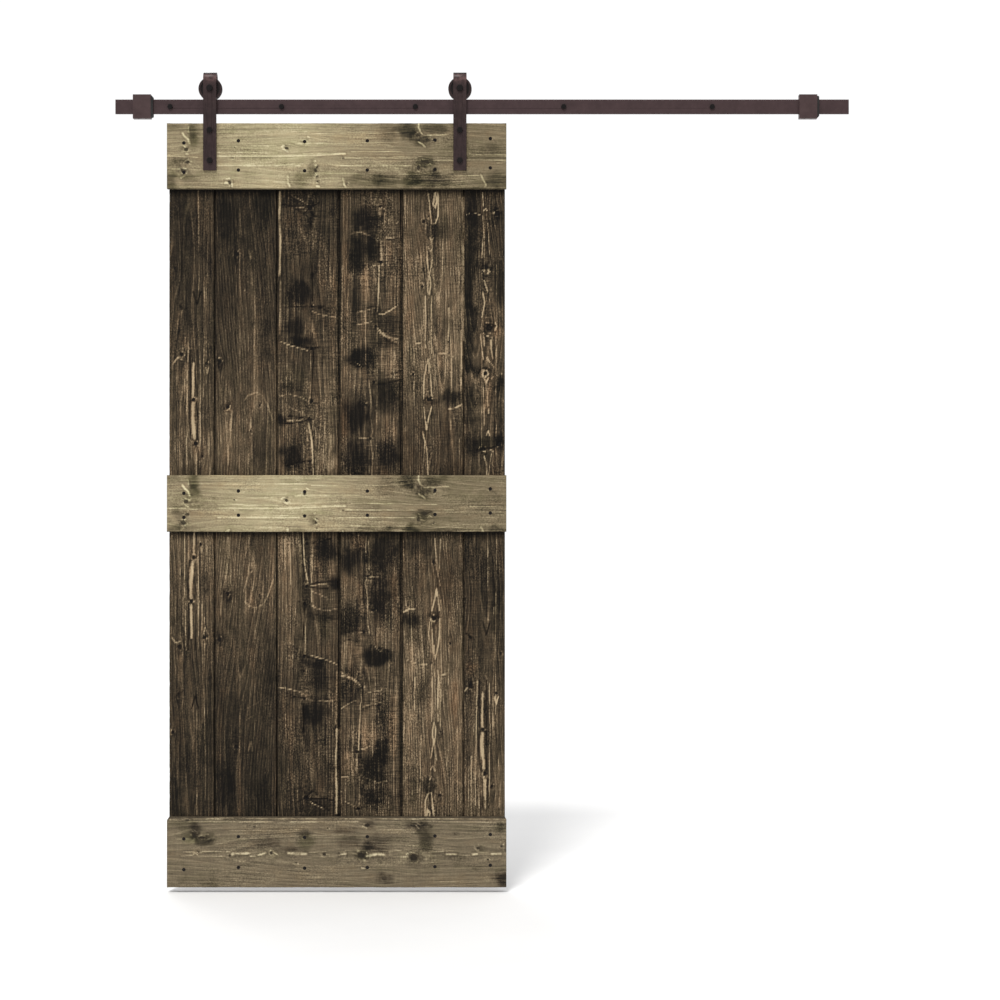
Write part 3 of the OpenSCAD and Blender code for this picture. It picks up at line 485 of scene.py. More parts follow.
def fields(board, u, v, w):
    """What the material and the relief need at each point of a board."""
    seed, marks = board["seed"], board["marks"]
    back = smooth(w, board["t"] * 0.75, board["t"] * 0.8)
    vf, uf = v, u
    if board["fold"]:
        line, sense, shift = board["fold"]
        vf = np.where(v > line, 2 * line - v, v)
        uf = np.where(v > line, shift + sense * u, u)
    vf = np.where(back > 0.5, (v * 0.83 + 211 + 97 * seed) % board["span"], vf)
    uf = np.where(back > 0.5, board["w"] - u, uf)
    wu = uf + 1.3 * fbm(u / 11, v / 17, seed + 1)
    wv = vf + 2.2 * fbm(u / 9, v / 13, seed + 2)
    knot, bend, halo, curl, star, spark = (np.zeros(u.shape) for i in range(6))
    for ku, kv, ru, rv, k in marks["knots"]:
        q = np.hypot((wu - ku) / ru, (wv - kv) / rv)
        turn = np.arctan2(wv - kv, (wu - ku) * 1.6) * 1.9 + ku
        swirl = np.cos(q * 8 + 2.5 * noise(turn, q * 0.7, seed))
        rings = 1 - 0.5 * smooth(swirl, 0.1, 0.9) * (min(ru, rv) > 3)
        knot = np.maximum(knot, k * smooth(-q, -1.25, -0.45) * rings)
        near = k * np.exp(-1.1 * np.clip(q - 1, 0, 9) ** 2) * (q > 0.7)
        rays = smooth(noise(turn * 1.7, q * 0.5, seed + 18), 0.3, 0.6)
        gleams = smooth(noise(turn * 1.9, q * 0.4, seed + 19), 0.35, 0.65)
        star, spark = np.maximum(star, near * rays), np.maximum(spark, near * gleams)
        r = 1.5 * min(ru, rv) + 2
        du, dv = uf - ku, (vf - kv) / 2.8
        bend = bend - r * r * du / (du * du + dv * dv + r * r)
        halo = np.maximum(halo, k * np.exp(-0.8 * q))
        curl = np.maximum(curl, k * np.exp(-(((q - 1.25) / 0.2) ** 2)))
    pale = 0.75 * curl * smooth(fbm(u / 6, v / 7, seed + 16), 0.0, 0.35) + 0.6 * spark
    crack, flank = 0.75 * star, np.zeros(u.shape)
    wide, long = (16, 38) if board["upright"] else (38, 16)
    broken = 0.85 + 0.6 * fbm(u / wide, vf / long, seed + 15)
    for half, k, pts in marks["lines"]:
        d = to_line(wu * 0.6 + uf * 0.4, wv * 0.6 + vf * 0.4, pts) / (half * LINE_SPREAD)
        hit = np.clip(abs(k) * board["drawn"] * np.exp(-0.75 * d * d) * broken, 0, 1)
        if k > 0:
            pale = np.maximum(pale, hit)
            flank = np.maximum(flank, k * np.exp(-0.9 * (d - 2.3) ** 2))
        else:
            crack = np.maximum(crack, hit)
    at, shade = zip(*marks["shade"])
    tone = np.interp(vf, at, shade) * (1 - back) + BACK_TONE * back
    warm = np.zeros(u.shape)
    tone = tone - 0.15 * flank * board["drawn"] * (1 - back)
    # Painted shadow: each plank darkens in a band just below the top and middle ledges.
    for edge in board["under"]:
        tone = tone - UNDER_SHADOW_TONE * np.exp(-(((v - edge) / UNDER_SHADOW_REACH) ** 2)) * (1 - back)
    ragged = 0.5 * fbm(u / 14, v / 19, seed + 3) + 0.42 * fbm(u / 36, v / 32, seed + 17)
    for bu, bv, ru, rv, t, c in marks["blots"]:
        q = np.hypot((wu - bu) / ru, (wv - bv) / rv) + ragged
        hit = smooth(-q, -1.5, -0.35)
        tone = tone + t * hit * (BLOT_TONE - BACK_BLOT_DROP * back)
        warm = warm + c * hit
    pith_u = board["w"] * (0.5 + 0.32 * noise(v / 900, 0.5, seed + 4))
    pith_w = 26 + 22 * noise(v / 420, 2.5, seed + 5)
    flow_u = uf + bend + 2.5 * noise(u / 60, v / 260, seed + 6)
    ring = np.hypot(flow_u - pith_u, w + np.abs(pith_w) + 6) / board["ring"]
    ring = ring + 0.5 * noise(u / 25, v / 180, seed + 7)
    saw = smooth(fbm(u / 70, v / 160, seed + 8), -0.25, 0.35)
    rough = smooth(fbm(u / 40, v / 80, seed + 9), -0.3, 0.4)
    faint = 1 - 0.6 * back
    return {
        "flow": np.stack([flow_u, v + 731.0 * seed, w], -1),
        "ring": ring,
        "mark": np.stack([pale * faint, crack * faint, knot], -1),
        "tint": np.stack([tone, warm * faint, halo * faint], -1),
        # The third part of coat grows with depth behind the front: painted shade on the sides and in deep
        # hollows.
        "coat": np.stack([saw * board["saw"], rough * board["rough"], smooth(w, 0.6, 3.0) * (1 - back)], -1),
    }


def relief(board, u, v):
    """How deep the front lies under its own plane, in millimetres."""
    f = fields(board, u, v, np.zeros(u.shape))
    seed = board["seed"]
    pale, crack, knot = f["mark"][..., 0], f["mark"][..., 1], f["mark"][..., 2]
    late = np.abs((f["ring"] % 1.0) - 0.5) * 2
    depth = 0.35 + 0.3 * fbm(u / 80, v / 300, seed + 11)
    depth = depth + 0.16 * noise(u / 5, v / 70, seed + 12) + 0.1 * late
    depth = depth + 0.16 * f["coat"][..., 0] * noise(u / 60, v / 5.5, seed + 13)
    depth = depth + 0.22 * f["coat"][..., 1] * noise(u / 4, v / 5, seed + 14)
    depth = depth + 1.0 * crack + 0.7 * knot - 0.22 * pale + 0.25 * f["tint"][..., 2]
    return np.clip(depth, 0.0, DEEPEST)


# ---------------------------------------------------------------- board meshes

def arc(cu, cw, r, a0, a1, n):
    """n points round (cu, cw), from angle a0 to a1 in degrees."""
    return [(cu + r * math.cos(a), cw + r * math.sin(a)) for a in np.radians(np.linspace(a0, a1, n))]


def spaced(a, b, step):
    """Even places from a to b, about a step apart."""
    n = max(2, int(round(abs(b - a) / step)) + 1)
    return np.linspace(a, b, n)


def plank_ring(width, thick, ease, seam, last, first):
    """The section of a plank, as (u, w, 1 on the front face), from its front left corner on."""
    mid, half, tongue, slot = thick / 2, 3.0, seam + TONGUE, GROOVE
    ring = [(p, 0.0, 1) for p in spaced(ease, width - ease, 2.4)]
    ring += [(a, b, 0) for a, b in arc(width - ease, ease, ease, -60, 0, 3)]
    ring += [(width, WORN_EDGE, 0)]
    if not last:
        ring += [(width, mid - half, 0), (width + tongue, mid - half, 0)]
        ring += [(width + tongue, mid + half, 0), (width, mid + half, 0)]
    ring += [(a, b, 0) for a, b in arc(width - ease, thick - ease, ease, 0, 90, 3)]
    ring += [(p, thick, 0) for p in spaced(width - ease - 4, ease + 4, 9)]
    ring += [(a, b, 0) for a, b in arc(ease, thick - ease, ease, 90, 180, 3)]
    if not first:
        ring += [(0, mid + half + 0.2, 0), (slot, mid + half + 0.2, 0)]
        ring += [(slot, mid - half - 0.2, 0), (0, mid - half - 0.2, 0)]
    ring += [(0, WORN_EDGE, 0)]
    ring += [(a, b, 0) for a, b in arc(ease, ease, ease, 180, 240, 3)]
    return np.array(ring)


def ledge_ring(height, thick, ease, bevel):
    """The section of a ledge, as (u down from its top edge, w, 1 on the front face)."""
    ring = [(p, 0.0, 1) for p in spaced(max(bevel, ease), height - ease, 2.6)]
    ring += [(a, b, 0) for a, b in arc(height - ease, ease, ease, -68, 0, 4)]
    ring += [(height, p, 0) for p in spaced(ease + 3, thick, 5)]
    ring += [(p, thick, 0) for p in spaced(height - 10, 10, 10)]
    if bevel > ease:
        ring += [(0.0, p, 0) for p in spaced(thick, bevel, 4)]
        ring += [(bevel - d, d, 0) for d in spaced(bevel - 1.5, 1.5, 2)]
    else:
        ring += [(0.0, p, 0) for p in spaced(thick, ease + 3, 5)]
        ring += [(a, b, 0) for a, b in arc(ease, ease, ease, 180, 248, 4)]
    return np.array(ring)


def placed(name, data, at=(0, 0, 0)):
    """A new object in the scene."""
    obj = bpy.data.objects.new(name, data)
    bpy.context.scene.collection.objects.link(obj)
    obj.location = at
    return obj


def new_object(name, verts, faces, caps=()):
    """verts in metres. faces is an (n, 4) array, and caps are polygons that get the second material."""
    mesh = bpy.data.meshes.new(name)
    loops = [np.asarray(faces, dtype=np.int32).ravel()] + [np.asarray(c, dtype=np.int32) for c in caps]
    sizes = np.array([4] * len(faces) + [len(c) for c in caps], dtype=np.int32)
    flat = np.concatenate(loops)
    mesh.vertices.add(len(verts))
    mesh.vertices.foreach_set("co", np.asarray(verts, dtype=np.float32).ravel())
    mesh.loops.add(len(flat))
    mesh.loops.foreach_set("vertex_index", flat)
    mesh.polygons.add(len(sizes))
    mesh.polygons.foreach_set("loop_start", np.concatenate([[0], np.cumsum(sizes)[:-1]]).astype(np.int32))
    mesh.polygons.foreach_set("material_index", np.array([0] * len(faces) + [1] * len(caps), dtype=np.int32))
    mesh.update(calc_edges=True)
    return placed(name, mesh)


def wear(rows, long, short, seed):
    """How far an edge is worn back at each place along it."""
    chips = np.clip(fbm(rows / long, rows * 0, seed), 0, 1) * 1.1
    return chips + 0.12 * (1 + noise(rows / short, rows * 0, seed + 1))


def board_mesh(board):
    """Sweeps a board's section along its grain, with the relief on its front and ragged edges."""
    ring, rows, seed = board["section"], board["rows"], board["seed"]
    u = np.broadcast_to(ring[:, 0], (len(rows), len(ring))).copy()
    w = np.broadcast_to(ring[:, 1], u.shape).copy()
    v = np.broadcast_to(rows[:, None], u.shape).copy()
    front = ring[:, 2] == 1
    deep = relief(board, u[:, front], v[:, front])
    w[:, front] += deep
    wear_and_highlight = (~front) & (ring[:, 1] < WORN_EDGE + 0.1)
    left, right = wear_and_highlight & (ring[:, 0] < board["w"] / 2), wear_and_highlight & (ring[:, 0] > board["w"] / 2)
    u[:, left] += wear(rows, 26, 6, seed + 21)[:, None]
    u[:, right] -= wear(rows, 31, 7, seed + 23)[:, None]
    w[:, left] += np.minimum(deep[:, :1] * 0.8, 1.2) * (ring[left, 1] < 1.2)
    w[:, right] += np.minimum(deep[:, -1:] * 0.8, 1.2) * (ring[right, 1] < 1.2)
    if board["upright"]:
        u, v = u + board["u0"], board["v0"] - v
        verts = np.stack([u, w + board["y0"], v], -1)
    else:
        end = np.minimum(rows, board["length"] - rows)
        past = 1 - np.clip(end / board["ease"], 0, 1)
        back_off = board["ease"] * (1 - np.sqrt(np.clip(1 - past ** 2, 0, 1)))
        w = np.maximum(w, back_off[:, None])
        cut = board["cut"][1] * np.clip(1 - end / board["cut"][0], 0, 1)
        u = np.maximum(u, cut[:, None])
        verts = np.stack([v + board["v0"], w + board["y0"], board["u0"] - u], -1)
    n, k = len(rows), len(ring)
    a = (np.arange(n - 1)[:, None] * k + np.arange(k)[None, :]).ravel()
    b = (np.arange(n - 1)[:, None] * k + (np.arange(k)[None, :] + 1) % k).ravel()
    faces = np.stack([a, b, b + k, a + k], -1)
    caps = [np.arange(k)[::-1], (n - 1) * k + np.arange(k)]
    pts = verts.reshape(-1, 3) * MM
    p = pts[faces]
    if np.einsum("ij,ij->i", np.cross(p[:, 0], p[:, 1]), p[:, 2]).sum() < 0:
        faces, caps = faces[:, ::-1], [c[::-1] for c in caps]
    return new_object(board["name"], pts, faces, caps)


def lathe(points, profile, sides=28):
    """Closed turned bodies along +Y, one at each (x, z). The profile is (y, r) from one end to the other."""
    verts, faces = [], []
    for x, z in points:
        base = len(verts)
        for y, r in profile:
            for k in range(sides):
                a = 2 * math.pi * k / sides
                verts.append((x + r * math.cos(a), y, z + r * math.sin(a)))
        for j in range(len(profile) - 1):
            for k in range(sides):
                m = (k + 1) % sides
                p, q = base + j * sides, base + (j + 1) * sides
                faces.append((p + k, q + k, q + m, p + m))
        faces.append(tuple(base + k for k in range(sides)))
        faces.append(tuple(base + (len(profile) - 1) * sides + k for k in range(sides))[::-1])
    mesh = bpy.data.meshes.new("cutter")
    mesh.from_pydata([(a * MM, b * MM, c * MM) for a, b, c in verts], [], faces)
    mesh.update()
    return placed("cutter", mesh)


# How near the points of one solid lie to its first point, and to its middle.
FIRST_REACH, SOLID_REACH = 25, 14


def centres(node):
    """Where the separate solids of a node sit, as (x, z) in millimetres."""
    mesh = NODES[node].data
    co = np.empty(len(mesh.vertices) * 3, dtype=np.float32)
    mesh.vertices.foreach_get("co", co)
    xz = np.unique(np.round(co.reshape(-1, 3)[:, [0, 2]] / MM, 2), axis=0)
    out = []
    while len(xz):
        near = np.hypot(*(xz - xz[0]).T) < FIRST_REACH
        for _ in range(4):
            mid = (xz[near].min(0) + xz[near].max(0)) / 2
            near = np.hypot(*(xz - mid).T) < SOLID_REACH
        out.append(tuple(mid))
        xz = xz[~near]
    return out


def cut(obj, cutters):
    """Cuts holes for good. Each cutter goes with its mesh."""
    for c in cutters:
        m = obj.modifiers.new("cut", "BOOLEAN")
        m.object, m.operation, m.solver = c, "DIFFERENCE", "MANIFOLD"
    graph = bpy.context.evaluated_depsgraph_get()
    mesh = bpy.data.meshes.new_from_object(obj.evaluated_get(graph))
    obj.modifiers.clear()
    old = obj.data
    obj.data = mesh
    bpy.data.meshes.remove(old)
    for c in cutters:
        bpy.data.meshes.remove(c.data)


def tell_material(board, obj):
    """Writes the board's fields on its vertices."""
    mesh = obj.data
    co = np.empty(len(mesh.vertices) * 3, dtype=np.float32)
    mesh.vertices.foreach_get("co", co)
    co = co.reshape(-1, 3).astype(float) / MM
    w = co[:, 1] - board["y0"]
    if board["upright"]:
        u, v = co[:, 0] - board["u0"], board["v0"] - co[:, 2]
    else:
        u, v = board["u0"] - co[:, 2], co[:, 0] - board["v0"]
    for name, values in fields(board, u, v, w).items():
        if values.ndim == 1:
            mesh.attributes.new(name, "FLOAT", "POINT").data.foreach_set("value", values.astype(np.float32))
        else:
            layer = mesh.attributes.new(name, "FLOAT_VECTOR", "POINT")
            layer.data.foreach_set("vector", values.astype(np.float32).ravel())
    mesh.polygons.foreach_set("use_smooth", np.ones(len(mesh.polygons), dtype=bool))
    mesh.set_sharp_from_angle(angle=math.radians(38))


# ---------------------------------------------------------------- materials

def rgb(r, g, b):
    """A colour given from 0 to 255, as linear light."""
    linear = [c / 255 / 12.92 if c < 10.3 else ((c / 255 + 0.055) / 1.055) ** 2.4 for c in (r, g, b)]
    return (*linear, 1.0)


class Value:
    """A node's output, with arithmetic."""

    def __init__(self, look, socket):
        self.look, self.socket = look, socket

    def __add__(self, o):
        return self.look.math("ADD", self, o)

    def __sub__(self, o):
        return self.look.math("SUBTRACT", self, o)

    def __mul__(self, o):
        return self.look.math("MULTIPLY", self, o)


class Look:
    """A material under construction."""

    def __init__(self, name):
        self.material = bpy.data.materials.new(name)
        self.material.use_nodes = True
        self.tree = self.material.node_tree
        self.tree.nodes.clear()
        self.attrs = {}

    def put(self, socket, value):
        """Links a node's output to a socket, or sets the socket's value."""
        if isinstance(value, Value):
            self.tree.links.new(value.socket, socket)
        else:
            socket.default_value = value

    def node(self, kind, **props):
        n = self.tree.nodes.new("ShaderNode" + kind)
        for k, v in props.items():
            setattr(n, k, v)
        return n

    def math(self, op, a, b=0.0, clamp=False):
        n = self.node("Math", operation=op, use_clamp=clamp)
        self.put(n.inputs[0], a)
        self.put(n.inputs[1], b)
        return Value(self, n.outputs[0])

    def attr(self, name):
        if name not in self.attrs:
            self.attrs[name] = self.node("Attribute", attribute_name=name)
        return self.attrs[name]

    def parts(self, name):
        n = self.node("SeparateXYZ")
        self.tree.links.new(self.attr(name).outputs["Vector"], n.inputs[0])
        return [Value(self, o) for o in n.outputs]

    def scaled(self, vector, by):
        n = self.node("VectorMath", operation="MULTIPLY")
        self.put(n.inputs[0], vector)
        n.inputs[1].default_value = by
        return Value(self, n.outputs[0])

    def noise(self, vector, by, detail=3.0, rough=0.55, warp=0.0):
        n = self.node("TexNoise")
        self.put(n.inputs["Vector"], self.scaled(vector, by))
        n.inputs["Scale"].default_value = 1.0
        n.inputs["Detail"].default_value = detail
        n.inputs["Roughness"].default_value = rough
        n.inputs["Distortion"].default_value = warp
        return Value(self, n.outputs[0])

    def step(self, x, a, b, lo=0.0, hi=1.0):
        n = self.node("MapRange", interpolation_type="SMOOTHSTEP")
        for i, value in enumerate((x, a, b, lo, hi)):
            self.put(n.inputs[i], value)
        return Value(self, n.outputs[0])

    def ramp(self, x, stops):
        n = self.node("ValToRGB")
        self.put(n.inputs[0], x)
        e = n.color_ramp.elements
        while len(e) < len(stops):
            e.new(0.5)
        for slot, (at, colour) in zip(e, stops):
            slot.position, slot.color = at, rgb(*colour)
        return Value(self, n.outputs[0])

    def mix(self, f, a, b, mode="MIX"):
        n = self.node("Mix", data_type="RGBA", blend_type=mode, clamp_factor=True)
        self.put(n.inputs[0], f)
        self.put(n.inputs[6], a if isinstance(a, Value) else rgb(*a))
        self.put(n.inputs[7], b if isinstance(b, Value) else rgb(*b))
        return Value(self, n.outputs[2])

    def bump(self, height, distance, strength=1.0):
        n = self.node("Bump")
        self.put(n.inputs["Height"], height)
        n.inputs["Distance"].default_value = distance
        n.inputs["Strength"].default_value = strength
        return Value(self, n.outputs[0])

    def finish(self, colour, rough, normal=None, metal=0.0, spec=0.4):
        p, out = self.node("BsdfPrincipled"), self.node("OutputMaterial")
        self.put(p.inputs["Base Color"], colour)
        self.put(p.inputs["Roughness"], rough)
        p.inputs["Metallic"].default_value = metal
        p.inputs["Specular IOR Level"].default_value = spec
        if normal:
            self.put(p.inputs["Normal"], normal)
        self.tree.links.new(p.outputs[0], out.inputs[0])
        return self.material


def wood(name, tones, pale_tones, knot_rgb, crack_rgb, warm_rgb, cool_rgb, base, gain, warm_gain, knot_gain):
    """A stained board's face. The tones run from dark to light, and gain is the strength of its figure."""
    g = Look(name)
    flow = Value(g, g.attr("flow").outputs["Vector"])
    pale, crack, knot = g.parts("mark")
    tone, warm, halo = g.parts("tint")
    saw, rough, side = g.parts("coat")
    ring = Value(g, g.attr("ring").outputs["Fac"])
    fine = g.noise(flow, (0.95, 0.03, 0.95), 3, 0.6)
    grain = g.noise(flow, (0.4, 0.011, 0.4), 3, 0.6, 0.2)
    mid = g.noise(flow, (0.15, 0.005, 0.15), 4, 0.66, 0.25)
    broad = g.noise(flow, (0.035, 0.003, 0.05), 2, 0.5)
    mottle = g.noise(flow, (0.05, 0.028, 0.05), 5, 0.7)
    speck = g.noise(flow, (0.3, 0.2, 0.3), 4, 0.68)
    cuts = g.noise(flow, (0.02, 0.26, 0.04), 4, 0.7, 0.6)
    phase = g.math("FRACT", ring)
    late = g.math("MULTIPLY", g.step(phase, 0.45, 0.86), g.step(phase, 1.0, 0.9))
    early = g.math("MULTIPLY", g.step(phase, 0.0, 0.08), g.step(phase, 0.26, 0.12))
    busy = rough * 0.75 + 0.35
    wisp = (grain - 0.5) * 0.9 + (speck - 0.5) * 1.2 + 1.0
    x = (grain - 0.5) * (0.95 * gain) + (mid - 0.5) * (0.75 * gain) + (mottle - 0.5) * (0.75 * gain)
    x = x * busy + (fine - 0.5) * (1.1 * gain) + (broad - 0.5) * (0.3 * gain)
    x = x + (speck - 0.5) * (rough * (1.4 * gain) + 0.55 * gain) + (cuts - 0.5) * saw * (0.9 * gain)
    # side darkens the board's sides and the deepest hollows of its front: painted shade.
    x = x + late * (-0.12 * gain) + early * wisp * (0.15 * gain) + tone + halo * -0.12 + side * -0.22 + base
    x = x + pale * wisp * 0.8
    colour = g.ramp(x, [(k / 4, tone_rgb) for k, tone_rgb in enumerate(tones)])
    tintx = warm * warm_gain + (mottle - 0.5) * 0.8 + (broad - 0.5) * 0.9
    colour = g.mix(g.math("MULTIPLY", tintx, 1.0, True), colour, warm_rgb, "OVERLAY")
    colour = g.mix(g.math("MULTIPLY", tintx, -1.0, True), colour, cool_rgb, "OVERLAY")
    streak = g.ramp(mid + (fine - 0.5) * 0.6, list(zip((0.3, 0.7), pale_tones)))
    colour = g.mix(g.step(pale * wisp, 0.4, 1.0, 0.0, 0.85), colour, streak)
    hole = g.step(knot + (speck - 0.5) * 0.5 + (mid - 0.5) * 0.4, 0.3, 0.62)
    colour = g.mix(hole * knot_gain, colour, knot_rgb)
    split = g.math("MULTIPLY", crack, wisp, True)
    colour = g.mix(split, colour, crack_rgb)
    shine = g.math("ADD", g.step(x, 0.0, 1.0, 0.74, 0.88), hole * -0.1)
    height = fine * 0.35 + grain * 0.5 + mid * 0.4 + speck * rough * 1.2 + cuts * saw * 0.7
    height = height + late * 0.25 - hole * 0.8 - split * 1.2
    return g.finish(colour, shine, g.bump(height, 0.0012, 0.8), spec=0.12)


PITH_U, PITH_DEPTH = 70.0, 38.0


def end_grain(name, tones, base):
    """A board's sawn end, with arcs of growth rings."""
    g = Look(name)
    flow = Value(g, g.attr("flow").outputs["Vector"])
    n = g.node("SeparateXYZ")
    g.put(n.inputs[0], flow)
    du, dw = Value(g, n.outputs[0]) - PITH_U, Value(g, n.outputs[2]) + PITH_DEPTH
    r = g.math("SQRT", du * du + dw * dw)
    wob = g.noise(flow, (0.12, 0.0, 0.12), 3, 0.5)
    phase = g.math("FRACT", r * 0.28 + wob * 1.4)
    late = g.math("MULTIPLY", g.step(phase, 0.4, 0.85), g.step(phase, 1.0, 0.9))
    speck = g.noise(flow, (1.4, 0.0, 1.4), 3, 0.6)
    x = late * -0.22 + (speck - 0.5) * 0.7 + (wob - 0.5) * 0.6 + base
    colour = g.ramp(x, list(zip((0.0, 0.5, 1.0), tones)))
    shine = g.step(speck, 0.2, 0.8, 0.78, 0.92)
    return g.finish(colour, shine, g.bump(speck * 0.6 + late * 0.5, 0.0008), spec=0.25)


def coat(name, colours, rough, metal, peel, grime, spec=0.5, scratch=0.0, bend=None, hub=None):
    """A painted, plated or moulded surface in object coordinates.

    colours run from the most covered to the most worn; the strap's lightest one shows mostly in its painted
    highlight.
    A bend is a height, in metres, just under which a painted shade band and then, lower, a painted highlight
    band lie. A hub is a wheel's centre (x, z) and the radius inside which painted shade darkens the coat.
    """
    g = Look(name)
    at = Value(g, g.node("TexCoord").outputs["Object"])
    cloud = g.noise(at, (22, 22, 22), 4, 0.6)
    patch = g.noise(at, (70, 70, 70), 4, 0.65)
    grit = g.noise(at, (900, 900, 900), 2, 0.5)
    lines = g.noise(at, (30, 420, 900), 3, 0.6)
    x = cloud * 0.55 + patch * 0.45 + (grit - 0.5) * 0.25 + (lines - 0.5) * scratch
    # A painted shade darkens the wheel's middle.
    if hub:
        off = g.node("VectorMath", operation="DISTANCE")
        g.put(off.inputs[0], g.scaled(at, (1, 0, 1)))
        off.inputs[1].default_value = (hub[0], 0, hub[1])
        x = x - g.step(Value(g, off.outputs["Value"]), hub[2] + 0.001, hub[2] - 0.001) * 0.3
    # Painted light on the strap's bend: a painted shade band at the very top, and a painted highlight band
    # just under it.
    if bend is not None:
        part = g.node("SeparateXYZ")
        g.put(part.inputs[0], at)
        drop = g.math("SUBTRACT", bend, Value(g, part.outputs[2]))
        wear_and_highlight = g.step(drop, 0.004, 0.008) * g.step(drop, 0.045, 0.012)
        x = x + wear_and_highlight * (patch * 0.6 + 0.1) - g.step(drop, 0.006, 0.003) * 0.3
    colour = g.ramp(x, list(zip((0.3, 0.5, 0.72, 1.0), colours)))
    shine = g.math("ADD", (patch - 0.5) * grime + (lines - 0.5) * scratch, rough, True)
    normal = g.bump(grit * 0.5 + patch * 0.15, peel, 0.6)
    return g.finish(colour, shine, normal, metal, spec)


DARK = wood(
    "espresso_boards",
    ((14, 11, 8), (37, 31, 23), (68, 58, 44), (108, 92, 71), (166, 146, 117)),
    ((142, 126, 98), (200, 180, 146)),
    (13, 10, 8), (7, 5, 4), (150, 116, 92), (106, 122, 96), -0.085, 1.0, 0.32, 0.93)
TAN = wood(
    "khaki_ledges",
    ((38, 34, 26), (90, 80, 61), (133, 120, 95), (172, 160, 127), (208, 198, 164)),
    ((196, 184, 146), (224, 214, 178)),
    (46, 41, 31), (50, 43, 32), (160, 134, 112), (120, 138, 96), -0.035, 0.47, 0.5, 0.85)
GREY = wood(
    "grey_brown_ledge",
    ((32, 28, 22), (66, 58, 46), (105, 94, 76), (142, 129, 104), (192, 179, 148)),
    ((180, 168, 134), (216, 204, 170)),
    (36, 31, 24), (40, 33, 25), (150, 130, 106), (114, 128, 92), -0.035, 0.52, 0.5, 0.88)
DARK_END = end_grain("espresso_ends", ((24, 19, 15), (62, 51, 39), (104, 88, 66)), 0.45)
TAN_END = end_grain("khaki_ends", ((50, 44, 33), (98, 86, 66), (146, 130, 100)), 0.42)

# How much of a wheel's width its darker middle, a painted shade, reaches from the centre.
HUB_SHARE = 0.41


def bronze(name, colours, rough=0.4, spec=0.25, **painted_light_kinds):
    """The dark bronze paint of the track, straps, wheels and stops."""
    return coat(name, colours, rough, 0.0, 0.0003, 0.2, spec, **painted_light_kinds)


def wheel_paint(side):
    """Bronze paint with a darker middle: painted shade."""
    lo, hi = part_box("wheel_" + side)
    hub = ((lo[0] + hi[0]) / 2, (lo[2] + hi[2]) / 2, (hi[0] - lo[0]) * HUB_SHARE)
    return bronze("bronze_wheel_" + side, ((20, 12, 12), (42, 29, 29), (56, 41, 40)), spec=0.22, hub=hub)


# The strap's top: just under it the strap gets a painted shade band, then a painted highlight band in its
# lightest colour.
STRAP_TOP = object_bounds()[1][2]
BRONZE = bronze("bronze_paint_coat", ((34, 22, 22), (44, 30, 30), (54, 39, 38)))
STRAP = bronze("bronze_strap_coat", ((30, 18, 18), (44, 30, 30), (58, 42, 41), (104, 78, 76)), bend=STRAP_TOP)
WHEEL_LEFT, WHEEL_RIGHT = wheel_paint("left"), wheel_paint("right")
BRONZE_BAR = bronze("bronze_bar_coat", ((52, 37, 38), (59, 43, 44), (66, 49, 50)), 0.42)
BRONZE_STOP = bronze("bronze_stop_coat", ((56, 41, 41), (64, 48, 48), (72, 55, 55)), 0.42)
BLACK = coat("black_oxide", ((6, 3, 3), (10, 6, 6), (20, 14, 14)), 0.3, 0.0, 0.0002, 0.25, 0.22)
ZINC = coat("zinc_plate", ((120, 121, 120), (158, 158, 154), (188, 187, 180)), 0.34, 0.9, 0.0001, 0.3,
            scratch=0.2)
STEEL = coat("bearing_steel", ((132, 134, 136), (160, 162, 164), (190, 191, 192)), 0.24, 1.0, 0.00005, 0.2,
             scratch=0.25)
RUBBER = coat("black_rubber", ((20, 19, 19), (30, 28, 28), (44, 42, 41)), 0.72, 0.0, 0.0004, 0.2, 0.3)


# ---------------------------------------------------------------- boards

ledge_y = lo_hi("top_ledge")[0][1]
plank_lo, plank_hi = lo_hi("plank_1")
door_back, door_foot = plank_hi[1], plank_lo[2]
SEAMS = (5, 4, 8, 9, 5, 0)
PLANK_LOOKS = {
    "rough": (0.5, 0.35, 0.9, 1.1, 0.7, 0.8),
    "saw": (0.3, 0.3, 0.9, 1.2, 0.7, 0.6),
    "drawn": (1.55, 0.65, 1.3, 1.25, 1.45, 1.65),
    "ring": (8.5, 7.5, 9.0, 8.0, 5.5, 7.0),
}

screws = {n: centres(n + "_screws") for n in ("top_ledge", "middle_ledge", "bottom_ledge")}
bolts = centres("door_bolts_left") + centres("door_bolts_right")
head_y = lo_hi("top_ledge_screws")[0][1]
washer_y = lo_hi("bolt_washers_left")[0][1]
HEAD_R, SHANK_R, CONE, SCREW_END = 4.85, 2.2, 2.65, 33.7
BOLT_R, WASHER_R = 5.0, 10.5
# A screw's hole is its head, its cone and its shank. A bolt's hole widens for the washer and the nut.
screw_cut = [(ledge_y - 3, HEAD_R), (head_y, HEAD_R)]
screw_cut += [(head_y + CONE, SHANK_R), (ledge_y + SCREW_END, SHANK_R)]
bolt_cut = [(ledge_y - 8, BOLT_R), (washer_y, BOLT_R), (washer_y, WASHER_R), (door_back + 3, WASHER_R)]


def make_board(board, near_screws, near_bolts, face, ends, body="door"):
    """One board in place of its node, with its holes and its materials."""
    obj = board_mesh(board)
    cutters = []
    if near_screws:
        cutters.append(lathe(near_screws, screw_cut))
    if near_bolts:
        cutters.append(lathe(near_bolts, bolt_cut, 40))
    obj.data.materials.append(face)
    obj.data.materials.append(ends)
    cut(obj, cutters)
    tell_material(board, obj)
    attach(obj, body)
    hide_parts(board["node"])
    return obj


